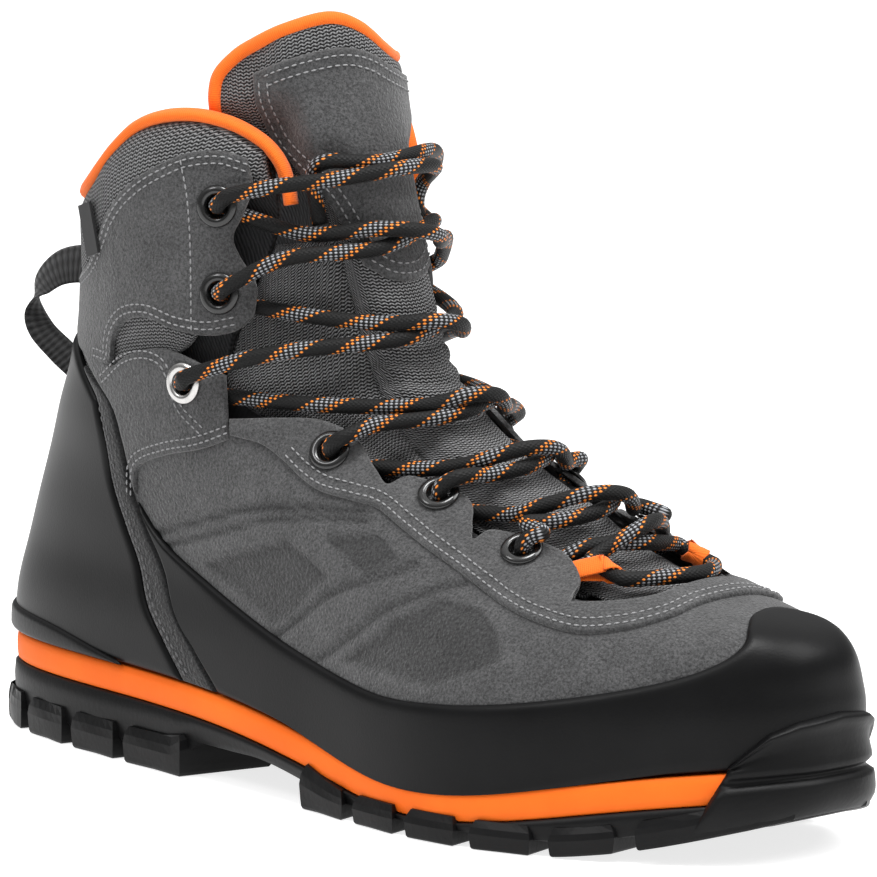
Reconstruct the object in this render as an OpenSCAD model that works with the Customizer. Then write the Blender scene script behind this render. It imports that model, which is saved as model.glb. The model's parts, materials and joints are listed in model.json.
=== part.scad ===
// Ankle-high hiking boot for a right foot, size about EU 42.
// Millimetres. The toe points to +X, the outer side of the foot to -Y, the tread stands on Z = 0.

/* [Size] */
// Length over the tread, heel to toe
boot_length = 297; // [260:1:340]
// Width over the sole at the ball of the foot
boot_width = 105; // [90:1:122]
// Height scale of the whole boot, 100 is as built
boot_height_percent = 100; // [85:1:120]

/* [Sole] */
// Thickness of the foam midsole
midsole_thickness = 7.3; // [4:0.1:12]
// Depth of the heel lugs
heel_lug_depth = 5; // [3:0.5:7]
// Height of the arch above the ground
arch_height = 9.7; // [7:0.1:11]
// Depth of the forefoot lugs
front_lug_depth = 3.8; // [2:0.2:5]
// How far the tread stands out past the upper
tread_overhang = 3.5; // [2:0.5:6]
// Height of the toe tip above the ground
toe_spring = 13; // [6:1:18]

/* [Upper] */
// Thickness of each outer leather or rubber panel
panel_thickness = 1.5; // [1:0.1:2.5]
// Thickness of the lining bootee
lining_thickness = 2.0; // [1.4:0.1:3]
// Thickness of the webbing of the pull loop
webbing_thickness = 1.6; // [1:0.1:2.4]
// Width of the webbing of the pull loop
webbing_width = 11; // [8:1:16]

/* [Lacing] */
// Diameter of the round lace
lace_diameter = 4.8; // [3.6:0.2:5.2]
// Radius of the eyelet's hole
eyelet_hole = 3.1; // [2.8:0.1:3.6]
// Radius of the eyelet's flange
eyelet_flange = 5.6; // [4.8:0.1:6.5]

/* [View] */
// Sub-part to draw, or all

/* [Hidden] */

// Scale factors that the sizes above drive
stretch = [boot_length / 297, boot_width / 105, boot_height_percent / 100];
// Moves the boot so that its base is centred on the origin
centre = [-1.4, 0.3, 0];
// Layer limits, measured outwards from the leather's seam line
panel_in = -0.4;
panel_out = panel_in + panel_thickness;
base_out = -0.9;
// The rubber rand and heel cover lie a little higher, over the leather's edge
rubber_in = 0.1;
rubber_out = rubber_in + panel_thickness;
tongue_out = -1.8;
clearance = 0.3;
lace_r = lace_diameter / 2;

// ---- Shape of the last: one number per ring, ring 0 at the sole edge, ring 10 above the tongue ----
// Front point of each ring: forward, sideways and upward
front_x = [146, 146.5, 141, 110, 68, 36, 15, 3, -6, -13, -15];
front_y = [9, 9, 8, 6, 3, 1, 0, 0, 0, 0, 0];
front_z = [27, 43, 57, 66, 80, 94, 110, 132, 160, 192, 224];
// Back point of each ring
back_x = [-144, -142, -138, -133, -128, -122, -116, -112, -111, -113, -116];
back_z = [26, 39, 53, 66, 79, 92, 106, 123, 143, 166, 190];
// Half widths of each ring at five stations, heel to toe: outer side, then inner side
stations = [0, 0.25, 0.5, 0.74, 1];
lateral_w = [[35, 36, 44, 56, 44], [37, 38, 45, 55, 44], [37, 38, 44, 50, 40], [37, 38, 43, 45, 38],
    [37, 38, 41, 42, 36], [38, 39, 40, 39, 34], [39, 40, 40, 37, 33], [39, 41, 41, 36, 32],
    [39, 42, 41, 36, 31], [40, 42, 41, 36, 31], [41, 42, 41, 36, 31]];
medial_w = [[32, 32, 38, 46, 38], [34, 34, 39, 46, 38], [34, 35, 39, 43, 34], [34, 36, 39, 40, 31],
    [34, 36, 39, 37, 30], [35, 38, 39, 37, 32], [36, 39, 40, 38, 34], [37, 40, 41, 39, 35],
    [37, 41, 42, 39, 35], [38, 41, 42, 39, 34], [39, 41, 42, 39, 34]];
// How square the front and the back of each ring are
front_square = [2.7, 2.6, 2.4, 2.3, 2.2, 2.1, 2, 2, 2, 2, 2];
back_square = [2.4, 2.4, 2.3, 2.3, 2.2, 2.2, 2.1, 2.1, 2.1, 2.1, 2.1];
// Dip of the lowest rings at the ball of the foot
dip = [-13, -6, -2, 0, 0, 0, 0, 0, 0, 0, 0];

// ---- Curves ----
function clamp(v, low, high) = min(max(v, low), high);
function smooth(v, low, high) = let (w = clamp((v - low) / (high - low), 0, 1)) w * w * (3 - 2 * w);
function hermite(a, b, ta, tb, w) = a * (2 * w * w * w - 3 * w * w + 1) + ta * (w * w * w - 2 * w * w + w)
    + b * (3 * w * w - 2 * w * w * w) + tb * (w * w * w - w * w);
function slope(list, i) = let (n = len(list) - 1)
    i <= 0 ? list[1] - list[0] : i >= n ? list[n] - list[n - 1] : (list[i + 1] - list[i - 1]) / 2;
// Value of an evenly spaced list at a fractional position
function at(list, p) = let (i = clamp(floor(p), 0, len(list) - 2), w = p - i)
    hermite(list[i], list[i + 1], slope(list, i), slope(list, i + 1), w);
// Value of the five station widths at s, 0 at the heel and 1 at the toe
function station_slope(w, i) = let (a = max(i - 1, 0), b = min(i + 1, 4)) (w[b] - w[a]) / (stations[b] - stations[a]);
function station_width(w, s) = let (i = s < 0.25 ? 0 : s < 0.5 ? 1 : s < 0.74 ? 2 : 3, h = stations[i + 1] - stations[i])
    hermite(w[i], w[i + 1], station_slope(w, i) * h, station_slope(w, i + 1) * h, (s - stations[i]) / h);

// Point on the last: ring t, direction phi (0 back, 90 outer side, 180 front, 270 inner side)
function skin(phi, t) = let (
    s = (1 - cos(phi)) / 2,
    power = s > 0.5 ? at(front_square, t) : at(back_square, t),
    cap = pow(max(1 - pow(abs(2 * s - 1), power), 0), 1 / power),
    outer = sin(phi) > 0,
    width = station_width(at(outer ? lateral_w : medial_w, t), s) * (outer ? -1 : 1),
    bx = at(back_x, t),
    bz = at(back_z, t),
    drop = (s - 0.68) / 0.22)
    [stretch[0] * (bx + (at(front_x, t) - bx) * s),
     stretch[1] * (at(front_y, t) * s * s + width * cap),
     stretch[2] * (bz + (at(front_z, t) - bz) * s + at(dip, t) * exp(-drop * drop))];
function unit(v) = v / norm(v);
function along_phi(phi, t) = skin(phi + 1.5, t) - skin(phi - 1.5, t);
function along_t(phi, t) = skin(phi, t + 0.04) - skin(phi, max(t - 0.04, 0));
function outward(phi, t) = unit(cross(along_phi(phi, t), along_t(phi, t)));
// Point at a distance outside the last
function off_skin(phi, t, d) = skin(phi, t) + outward(phi, t) * d;

// ---- Panels: a patch of the last between four borders, each a list of [phi, t] ----
function walk(list, u) = at(list, u * (len(list) - 1));
function patch(low, high, first, last, u, v) = (1 - v) * walk(low, u) + v * walk(high, u)
    + (1 - u) * walk(first, v) + u * walk(last, v)
    - (1 - u) * (1 - v) * low[0] - u * (1 - v) * low[len(low) - 1]
    - (1 - u) * v * high[0] - u * v * high[len(high) - 1];
function mirrored(list) = [for (p = list) [360 - p[0], p[1]]];
function reversed(list) = [for (i = [len(list) - 1:-1:0]) list[i]];
// A border given for the outer side only, carried on round the front to the inner side
function round_front(list) = concat(list, reversed(mirrored([for (i = [0:len(list) - 2]) list[i]])));
// The same, carried round the back: starts on the inner side with negative directions
function round_back(list) = concat([for (i = [len(list) - 1:-1:1]) [-list[i][0], list[i][1]]], list);

// Solid between two grids of points, outer grid first
module grid_solid(nu, nv, outer, inner, flip, closed) {
    row = closed ? nu : nu + 1;
    half = row * (nv + 1);
    function id(i, j, side) = side * half + j * row + (closed ? i % nu : i);
    quads = concat(
        [for (i = [0:nu - 1]) for (j = [0:nv - 1]) [id(i, j, 0), id(i, j + 1, 0), id(i + 1, j + 1, 0), id(i + 1, j, 0)]],
        [for (i = [0:nu - 1]) for (j = [0:nv - 1]) [id(i, j, 1), id(i + 1, j, 1), id(i + 1, j + 1, 1), id(i, j + 1, 1)]],
        [for (i = [0:nu - 1]) [id(i, 0, 0), id(i + 1, 0, 0), id(i + 1, 0, 1), id(i, 0, 1)]],
        [for (i = [0:nu - 1]) [id(i, nv, 0), id(i, nv, 1), id(i + 1, nv, 1), id(i + 1, nv, 0)]],
        closed ? [] : [for (j = [0:nv - 1]) [id(0, j, 0), id(0, j, 1), id(0, j + 1, 1), id(0, j + 1, 0)]],
        closed ? [] : [for (j = [0:nv - 1]) [id(nu, j, 0), id(nu, j + 1, 0), id(nu, j + 1, 1), id(nu, j, 1)]]);
    faces = [for (q = quads) for (k = [0, 1])
        k == 0 ? (flip ? [q[2], q[1], q[0]] : [q[0], q[1], q[2]]) : (flip ? [q[3], q[2], q[0]] : [q[0], q[2], q[3]])];
    translate(centre)
        polyhedron(points = concat(outer, inner), faces = faces, convexity = 6);
}

// Panel of constant layer limits. side 1 is as given, side -1 is its mirror image on the inner side.
module panel(low, high, first, last, nu, nv, d_in, d_out, side = 1) {
    grid = [for (j = [0:nv]) for (i = [0:nu]) patch(low, high, first, last, i / nu, j / nv)];
    spots = side > 0 ? grid : mirrored(grid);
    outer = [for (p = spots) off_skin(p[0], p[1], d_out)];
    inner = [for (p = spots) off_skin(p[0], p[1], d_in)];
    grid_solid(nu, nv, outer, inner, side < 0, false);
}

// Strip between two long borders
module strip(low, high, nu, nv, d_in, d_out, side = 1) {
    n = len(low) - 1;
    panel(low, high, [low[0], high[0]], [low[n], high[n]], nu, nv, d_in, d_out, side);
}

// Puts a child on the last at [phi, t], its +Z outwards
module on_skin(phi, t) {
    p = skin(phi, t) + centre;
    n = outward(phi, t);
    translate(p)
        rotate([0, acos(n[2]), atan2(n[1], n[0])])
            children();
}

// ---- Swept tubes ----
function side_start(d) = unit(cross(d, abs(d[2]) < 0.8 ? [0, 0, 1] : [1, 0, 0]));
function straighten(v, d) = unit(v - d * (v * d));
function bearings(path) = let (n = len(path) - 1)
    [for (i = [0:n]) unit(path[min(i + 1, n)] - path[max(i - 1, 0)])];
function sides_along(dirs) = [for (i = 0, v = side_start(dirs[0]); i < len(dirs);
    i = i + 1, v = i < len(dirs) ? straighten(v, dirs[i]) : v) v];
// Tube along a path, with an oval section: r_side across the side vector, r_up across the other
module tube(path, sides, r_side, r_up, count) {
    dirs = bearings(path);
    n = len(path);
    points = [for (i = [0:n - 1]) let (v = straighten(sides[i], dirs[i]), w = cross(dirs[i], v))
        for (k = [0:count - 1]) path[i] + v * r_side * cos(360 * k / count) + w * r_up * sin(360 * k / count)];
    walls = [for (i = [0:n - 2]) for (k = [0:count - 1]) for (h = [0, 1])
        let (a = i * count + k, b = i * count + (k + 1) % count)
        h == 0 ? [a, a + count, b] : [b, a + count, b + count]];
    ends = [[for (k = [0:count - 1]) k], [for (k = [count - 1:-1:0]) (n - 1) * count + k]];
    translate(centre)
        polyhedron(points = points, faces = concat(walls, ends), convexity = 8);
}

// ---- Sole ----
// Outline of the sole edge, moved outwards by d
function edge_point(phi, d) = let (p = skin(phi, 0), q = skin(phi + 2, 0) - skin(phi - 2, 0))
    [p[0], p[1]] + unit([q[1], -q[0]]) * d;
module outline(d) {
    polygon([for (phi = [2.5:5:357.5]) edge_point(phi, d) + [centre[0], centre[1]]]);
}
// Height of the sole edge at a distance x from the middle
function edge_height(x) = let (s = clamp((x / stretch[0] + 144) / 290, 0, 1), drop = (s - 0.68) / 0.22)
    stretch[2] * (26 + s + dip[0] * exp(-drop * drop));
xs = [for (i = [0:26]) (-156 + 12 * i) * stretch[0]];
// Heights of the faces of the sole at x
function midsole_top(x) = edge_height(x) - clearance;
function midsole_bottom(x) = midsole_top(x) - midsole_thickness;
function ground(x) = x < 92 ? 0 : toe_spring * pow((x - 92) / 57, 1.6);
function slab_bottom(x) = x < -44 ? heel_lug_depth : x < -20 ? arch_height
    : ground(x) + front_lug_depth + (arch_height - front_lug_depth) * (1 - smooth(x, -20, 26));
// Solid between two height lines, over the whole length
module band(low, high) {
    translate([centre[0], 90, 0])
        rotate([90, 0, 0])
            linear_extrude(180)
                polygon(concat(low, reversed(high)));
}
function line_of(kind, lift) = [for (x = xs) [x,
    (kind == 0 ? ground(x) : kind == 1 ? slab_bottom(x) : kind == 2 ? midsole_bottom(x) : midsole_top(x)) + lift]];

module sole_layer(d, low, high) {
    intersection() {
        linear_extrude(70)
            outline(d);
        band(low, high);
    }
}

// One tread block, its four corners given as [x, y]
module lug(corners) {
    linear_extrude(24)
        polygon([for (c = corners) [c[0] * stretch[0] + centre[0], c[1] * stretch[1] + centre[1]]]);
}
module side_lugs(from, to, lean, reach) {
    lug([[from, -80], [to, -80], [to + lean, -reach], [from + lean, -reach]]);
    lug([[from + lean, reach], [to + lean, reach], [to, 80], [from, 80]]);
}
module all_lugs() {
    side_lugs(-160, -127, 3, 13);
    side_lugs(-122, -103, 4, 13);
    side_lugs(-98, -78, 5, 12);
    side_lugs(-73, -47, 6, 10);
    side_lugs(6, 25, -6, 24);
    side_lugs(30, 47, -6, 24);
    side_lugs(52, 69, -6, 24);
    side_lugs(74, 91, -6, 23);
    side_lugs(96, 112, -5, 20);
    side_lugs(117, 160, -4, 4);
    lug([[-158, -9], [-126, -9], [-120, 0], [-126, 9], [-158, 9]]);
    for (x = [18, 42, 66, 90])
        lug([[x - 7, -15], [x + 2, -13], [x + 9, 0], [x + 2, 13], [x - 7, 15], [x - 1, 0]]);
}
// Shallow bars under the arch, which don't reach the ground
module arch_bars() {
    for (x = [-34, -20, -6])
        lug([[x - 4, -14], [x + 4, -14], [x + 4, 14], [x - 4, 14]]);
}
module outsole() {
    color([0.07, 0.07, 0.08])
    union() {
        sole_layer(2, line_of(1, 0), line_of(2, -clearance));
        intersection() {
            all_lugs();
            linear_extrude(70)
                outline(tread_overhang);
            band(line_of(0, 0), line_of(1, 0.6));
        }
        intersection() {
            arch_bars();
            band(line_of(1, -2), line_of(1, 0.6));
        }
        intersection() {
            sole_layer(2, line_of(1, 0), line_of(3, 0));
            translate([136 * stretch[0] + centre[0], -80, 0])
                cube([40, 160, 60]);
        }
    }
}
module midsole() {
    color([0.95, 0.42, 0.09])
    difference() {
        sole_layer(0.8, line_of(2, 0), line_of(3, 0));
        translate([135.6 * stretch[0] + centre[0], -80, 0])
            cube([40, 160, 60]);
        shank_shape(0.3, -2.2, 5);
    }
}
// Plate under the arch: grow widens it, the last two numbers are its height limits under the midsole top
module shank_shape(grow, low, high) {
    intersection() {
        translate([-95 * stretch[0] + centre[0] - grow, -9 - grow + centre[1], 0])
            cube([110 * stretch[0] + 2 * grow, 18 + 2 * grow, 70]);
        band(line_of(3, low), line_of(3, high));
    }
}
module shank() {
    color([0.6, 0.62, 0.64])
    shank_shape(0, -1.9, -0.4);
}
module insole_board() {
    color([0.55, 0.5, 0.42])
    sole_layer(-6.4, line_of(3, 0.4), line_of(3, 2.2));
}
module footbed() {
    color([0.2, 0.2, 0.22])
    sole_layer(-6.6, line_of(3, 2.5), line_of(3, 6.5));
}

// ---- Borders of the upper's pieces, outer side, as [phi, t] ----
floor_t = 0.03;
cover_edge = [[70, floor_t], [66, 0.75], [61, 1.75], [59, 3.4], [61, 4.65], [60, 5.4]];
trim_edge = [[76, floor_t], [71.5, 0.75], [66, 1.75], [64, 3.4], [66.5, 4.65], [65.5, 5.4]];
rand_top = [[64.6, 3.45], [68, 2.6], [76, 1.85], [88, 1.25], [101, 0.97], [114, 1.0], [127, 1.1],
    [138, 1.25], [147, 1.45], [154, 1.7], [160, 2.0], [165, 2.28], [172, 2.52], [180, 2.62]];
rand_low = [[76.5, floor_t], [80, floor_t], [86, floor_t], [94, floor_t], [104, floor_t], [115, floor_t],
    [127, floor_t], [138, floor_t], [147, floor_t], [154, floor_t], [160, floor_t], [166, floor_t], [173, floor_t], [180, floor_t]];
stay_low = [[105, 5.15], [110, 5.0], [112, 4.75], [113, 4.5], [115, 4.3], [120, 4.2], [124, 4.1], [124.5, 3.8],
    [124.5, 3.5], [125, 3.2], [125.5, 2.9], [126, 2.6], [128, 2.35], [133, 2.15], [141, 2.25], [151, 2.5], [165, 2.8], [180, 2.9]];
stay_high = [[106, 5.4], [118, 5.5], [128, 5.5], [134, 5.25], [132.5, 4.75], [132, 4.5], [140, 4.65], [147.5, 4.35],
    [141, 3.95], [136.5, 3.7], [144, 3.85], [152, 3.6], [147, 3.2], [138, 2.8], [144, 2.8], [155, 2.92], [167, 3.08], [180, 3.15]];
cuff_low = [[1, 6.55], [16, 6.55], [32, 6.5], [48, 6.2], [62, 6.15], [70, 6.4], [78, 6.75], [86, 6.82], [95, 6.68],
    [104, 6.62], [112, 6.68], [118, 6.85]];
cuff_high = [[1, 7.05], [24, 7.15], [44, 7.32], [58, 7.5], [66, 7.75], [72, 8.0], [79, 8.2], [88, 8.36], [98, 8.47],
    [106, 8.52], [116, 8.5], [124, 8.4]];
cuff_front = [[118, 6.85], [120.5, 7.2], [117, 7.5], [116, 7.7], [120, 7.9], [124, 8.15], [124, 8.4]];
ankle_low = [[65.2, 3.6], [70, 4.2], [80, 4.55], [91, 4.78], [101, 5.05]];
ankle_high = [[50, 6.05], [64, 6.05], [77, 6.3], [91, 6.4], [107, 6.1]];
ankle_back = [[65.2, 3.6], [67.6, 4.65], [66.4, 5.35], [58, 5.85], [50, 6.05]];
ankle_front = [[101, 5.05], [104.5, 5.6], [107, 6.1]];
base_low = [[62, floor_t], [82, floor_t], [102, floor_t], [120, floor_t], [136, floor_t], [148, floor_t], [157, floor_t],
    [168, floor_t], [180, floor_t]];
base_high = [[62, 3.5], [72, 4.2], [91, 4.7], [106, 5.05], [117, 4.95], [124, 4.5], [132, 4.25], [134, 3.85],
    [135.5, 3.5], [137, 3.1], [142, 2.8], [150, 2.8], [165, 2.98], [180, 3.05]];
quarter_low = [[1, 3.55], [35, 3.55], [62, 3.6], [70, 4.2], [88, 4.75], [98, 4.95]];
quarter_high = [[1, 7.1], [40, 7.2], [60, 7.45], [72, 7.95], [90, 8.15], [104, 8.15]];
quarter_front = [[98, 4.95], [88, 5.7], [90, 6.2], [100, 6.6], [102, 7.1], [104, 7.7], [104, 8.15]];
pad_low = [[0, 7.18], [40, 7.28], [60, 7.53], [72, 8.03], [90, 8.23], [104, 8.24], [117, 8.24], [129, 8.2]];
pad_high = [[0, 8.1], [40, 8.2], [60, 8.32], [75, 8.56], [90, 8.75], [107, 8.74], [120, 8.6], [129, 8.42]];
rim = [[0, 8.2], [15, 8.22], [30, 8.26], [45, 8.32], [58, 8.41], [68, 8.54], [78, 8.7], [88, 8.84], [98, 8.88],
    [108, 8.84], [117, 8.74], [124, 8.62], [130, 8.47], [133.5, 8.3], [134.5, 8.12], [134.5, 7.95]];
throat = [[143, 3.16], [144, 3.6], [140, 4.3], [127, 5.0], [103, 5.8], [106, 6.4], [115, 7.1], [125, 7.6], [129, 7.9],
    [129.5, 8.4]];

// Layers inside the leather: the lining steps inwards above the foot, where the padding is
function pad_step(t) = 2.2 * smooth(t, 2.1, 3.3);
function lining_out(t) = -3.9 - pad_step(t);
function base_in(t) = -2.3 - 3.5 * smooth(t, 2.1, 3.3);

// Closed ring of the last between floor and a level that follows phi
module ring_shell(count, nv, high) {
    grid = [for (j = [0:nv]) for (i = [0:count - 1]) [360 * i / count, floor_t + (high - floor_t) * j / nv]];
    outer = [for (p = grid) off_skin(p[0], p[1], lining_out(p[1]))];
    inner = [for (p = grid) off_skin(p[0], p[1], lining_out(p[1]) - lining_thickness)];
    grid_solid(count, nv, outer, inner, false, true);
}
// Panel of the base layer: its inner face steps in with the padding
module base_panel(low, high, first, last, nu, nv, side = 1) {
    grid = [for (j = [0:nv]) for (i = [0:nu]) patch(low, high, first, last, i / nu, j / nv)];
    spots = side > 0 ? grid : mirrored(grid);
    outer = [for (p = spots) off_skin(p[0], p[1], base_out)];
    inner = [for (p = spots) off_skin(p[0], p[1], base_in(p[1]))];
    grid_solid(nu, nv, outer, inner, side < 0, false);
}

module lining_foot() {
    color([0.16, 0.16, 0.17])
    ring_shell(44, 8, 3.08);
}
module lining_shaft() {
    color([0.18, 0.18, 0.19])
    union() {
        front = throat;
        low = round_back([[0, 3.16], [40, 3.16], [80, 3.16], [115, 3.16], [143, 3.16]]);
        high = round_back([[0, 8.1], [15, 8.12], [30, 8.16], [45, 8.22], [58, 8.31], [68, 8.43], [78, 8.58], [88, 8.72],
            [98, 8.76], [108, 8.72], [117, 8.62], [124, 8.5], [129.5, 8.4]]);
        back_side = [for (p = front) [-p[0], p[1]]];
        nu = 38;
        nv = 13;
        grid = [for (j = [0:nv]) for (i = [0:nu]) patch(low, high, back_side, front, i / nu, j / nv)];
        outer = [for (p = grid) off_skin(p[0], p[1], lining_out(p[1]))];
        inner = [for (p = grid) off_skin(p[0], p[1], lining_out(p[1]) - lining_thickness)];
        grid_solid(nu, nv, outer, inner, false, false);
    }
}
module toe_puff() {
    color([0.75, 0.73, 0.66])
    strip([[142, 0.06], [160, 0.06], [180, 0.06], [200, 0.06], [218, 0.06]],
        [[150, 1.7], [165, 1.9], [180, 2.0], [195, 1.9], [210, 1.7]], 12, 5, -3.6, -2.6);
}
module heel_counter() {
    color([0.75, 0.73, 0.66])
    strip([[-60, 0.06], [-30, 0.06], [0, 0.06], [30, 0.06], [60, 0.06]],
        [[-52, 1.7], [-28, 1.95], [0, 2.0], [28, 1.95], [52, 1.7]], 14, 6, -3.6, -2.6);
}
module vamp() {
    color([0.33, 0.33, 0.34])
    base_panel(round_front(base_low), round_front(base_high), [[62, floor_t], [62, 3.5]], [[298, floor_t], [298, 3.5]], 52, 9);
}
module heel_quarter() {
    color([0.3, 0.3, 0.31])
    base_panel([[-61.4, floor_t], [0, floor_t], [61.4, floor_t]], [[-61.4, 3.48], [0, 3.48], [61.4, 3.48]],
        [[-61.4, floor_t], [-61.4, 3.48]], [[61.4, floor_t], [61.4, 3.48]], 18, 8);
}
module quarter(side) {
    color([0.2, 0.2, 0.21])
    base_panel(quarter_low, quarter_high, [[1, 3.55], [1, 7.1]], quarter_front, 14, 12, side);
}
module collar_pad() {
    color([0.36, 0.36, 0.37])
    union() {
        low = round_back(pad_low);
        high = round_back(pad_high);
        n = len(low) - 1;
        base_panel(low, high, [low[0], high[0]], [low[n], high[n]], 44, 4);
    }
}
module rand() {
    color([0.16, 0.16, 0.17])
    union() {
        back = [[76.5, floor_t], [72, 0.75], [66.5, 1.75], [64.6, 3.45]];
        panel(round_front(rand_low), round_front(rand_top), back, mirrored(back), 52, 7, rubber_in, rubber_out);
    }
}
module heel_cover() {
    color([0.16, 0.16, 0.17])
    union() {
        low = round_back([[0, 0.66], [18, 0.64], [36, 0.56], [52, 0.32], [62, 0.06], [70, floor_t]]);
        high = round_back([[0, 6.45], [18, 6.42], [34, 6.3], [46, 6.05], [55, 5.7], [60, 5.4]]);
        panel(low, high, [for (p = cover_edge) [-p[0], p[1]]], cover_edge, 24, 11, rubber_in, rubber_out);
    }
}
module heel_trim(side) {
    color([0.24, 0.24, 0.25])
    strip(reversed(concat([for (p = cover_edge) [p[0] + 0.5, p[1]]], [[52, 5.9]])),
        reversed(concat([for (p = trim_edge) [p[0], p[1]]], [[57.5, 5.78]])), 20, 1, panel_in, panel_out, -side);
}
module heel_lip() {
    color([0.07, 0.07, 0.08])
    strip(round_back([[0, floor_t], [20, floor_t], [40, floor_t], [56, floor_t]]),
        round_back([[0, 0.6], [20, 0.58], [40, 0.48], [55, 0.14]]), 24, 2, 1.9, 3.3);
}
module toe_bumper() {
    color([0.07, 0.07, 0.08])
    strip([[154, floor_t], [161, floor_t], [170, floor_t], [180, floor_t], [190, floor_t], [199, floor_t], [206, floor_t]],
        [[156, 0.12], [161, 0.52], [170, 0.74], [180, 0.82], [190, 0.74], [199, 0.52], [204, 0.12]], 20, 3, 1.9, 3.7);
}
module cuff(side) {
    color([0.34, 0.34, 0.35])
    difference() {
        panel(cuff_low, cuff_high, [[1, 6.55], [1, 7.05]], cuff_front, 22, 7, panel_in, panel_out, side);
        eyelet_cut(1, side);
        eyelet_cut(2, side);
    }
}
module ankle(side) {
    color([0.33, 0.33, 0.34])
    difference() {
        panel(ankle_low, ankle_high, ankle_back, ankle_front, 10, 9, panel_in, panel_out, side);
        eyelet_cut(3, side);
    }
}
module eyestay() {
    color([0.34, 0.34, 0.35])
    difference() {
        strip(round_front(stay_low), round_front(stay_high), 68, 3, panel_in, panel_out);
        for (k = [4, 5, 6]) {
            eyelet_cut(k, 1);
            eyelet_cut(k, -1);
        }
    }
}

// ---- Collar binding, tongue and gussets ----
module collar_binding() {
    color([0.95, 0.42, 0.09])
    union() {
        line = round_back(rim);
        spots = [for (i = [0:56]) walk(line, i / 56)];
        path = [for (p = spots) off_skin(p[0], p[1], -4.4)];
        sides = [for (p = spots) outward(p[0], p[1])];
        tube(path, sides, 3.9, 1.9, 8);
    }
}
// The tongue's outer face: padded in the middle, low at its sides and at its toe end
function tongue_face(phi, t) = let (side = abs(phi - 180))
    tongue_out - 2.9 * max(smooth(side, 17, 29) * (1 - smooth(t, 8.2, 8.6)), 1 - smooth(t, 3.6, 4.3))
    - 4.2 * smooth(side, 38, 56) * smooth(t, 8.2, 8.6);
function tongue_back(phi, t) = min(tongue_face(phi, t) - 1.7, -6.4);
module tongue_piece(low, high, nu, nv) {
    n = len(low) - 1;
    grid = [for (j = [0:nv]) for (i = [0:nu]) patch(low, high, [low[0], high[0]], [low[n], high[n]], i / nu, j / nv)];
    outer = [for (p = grid) off_skin(p[0], p[1], tongue_face(p[0], p[1]))];
    inner = [for (p = grid) off_skin(p[0], p[1], tongue_back(p[0], p[1]))];
    grid_solid(nu, nv, outer, inner, false, false);
}
tongue_foot = [[150, 3.3], [165, 3.3], [180, 3.3], [195, 3.3], [210, 3.3]];
tongue_split = [[150, 8.3], [165, 8.3], [180, 8.3], [195, 8.3], [210, 8.3]];
upper_low = [[116, 8.93], [125, 8.82], [134, 8.62], [146, 8.4], [163, 8.38], [180, 8.38], [197, 8.38], [214, 8.4],
    [226, 8.62], [235, 8.82], [244, 8.93]];
upper_high = [[116, 9.12], [121, 9.24], [128, 9.31], [140, 9.38], [158, 9.4], [176, 9.28], [193, 9.12], [208, 9.05],
    [222, 9.06], [234, 9.07], [244, 9.04]];
module tongue_lower() {
    color([0.24, 0.24, 0.25])
    tongue_piece(tongue_foot, tongue_split, 12, 18);
}
module tongue_upper() {
    color([0.36, 0.36, 0.37])
    tongue_piece(upper_low, upper_high, 26, 4);
}
// Leather patch on the tongue, just above its face
module patch_piece(low, high, nu, nv) {
    n = len(low) - 1;
    grid = [for (j = [0:nv]) for (i = [0:nu]) patch(low, high, [low[0], high[0]], [low[n], high[n]], i / nu, j / nv)];
    outer = [for (p = grid) off_skin(p[0], p[1], tongue_face(p[0], p[1]) + 1.4)];
    inner = [for (p = grid) off_skin(p[0], p[1], tongue_face(p[0], p[1]) + 0.3)];
    grid_solid(nu, nv, outer, inner, false, false);
}
module tongue_patch_lower() {
    color([0.36, 0.36, 0.37])
    patch_piece([[158, 7.32], [168, 7.2], [180, 7.16], [192, 7.2], [202, 7.32]],
        [[154, 8.29], [167, 8.29], [180, 8.29], [193, 8.29], [206, 8.29]], 10, 5);
}
module tongue_patch_upper() {
    color([0.36, 0.36, 0.37])
    patch_piece([[126, 8.83], [135, 8.65], [146, 8.43], [163, 8.4], [180, 8.4], [197, 8.4], [214, 8.43], [225, 8.65], [234, 8.83]],
        [[127, 9.08], [136, 9.14], [148, 9.17], [163, 9.17], [178, 9.1], [193, 8.98], [208, 8.92], [222, 8.92], [233, 8.93]], 20, 3);
}
module tongue_binding() {
    color([0.95, 0.42, 0.09])
    union() {
        spots = [for (i = [0:30]) walk(upper_high, i / 30)];
        path = [for (p = spots) off_skin(p[0], p[1], (tongue_face(p[0], p[1]) + tongue_back(p[0], p[1])) / 2) + [0, 0, 2.4]];
        sides = [for (p = spots) outward(p[0], p[1])];
        tube(path, sides, 2.4, 1.6, 8);
    }
}
module gusset(side) {
    color([0.22, 0.22, 0.23])
    union() {
        edge = [[144.5, 3.22], [145.5, 3.6], [141.5, 4.3], [129, 5.0], [105, 5.8], [108, 6.4], [117, 7.1], [127, 7.5]];
        centre_edge = [[149.2, 3.22], [149.2, 7.5]];
        panel([edge[0], centre_edge[0]], [edge[7], centre_edge[1]], edge, centre_edge, 6, 14, -7.6, -6.3, side);
    }
}

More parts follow.
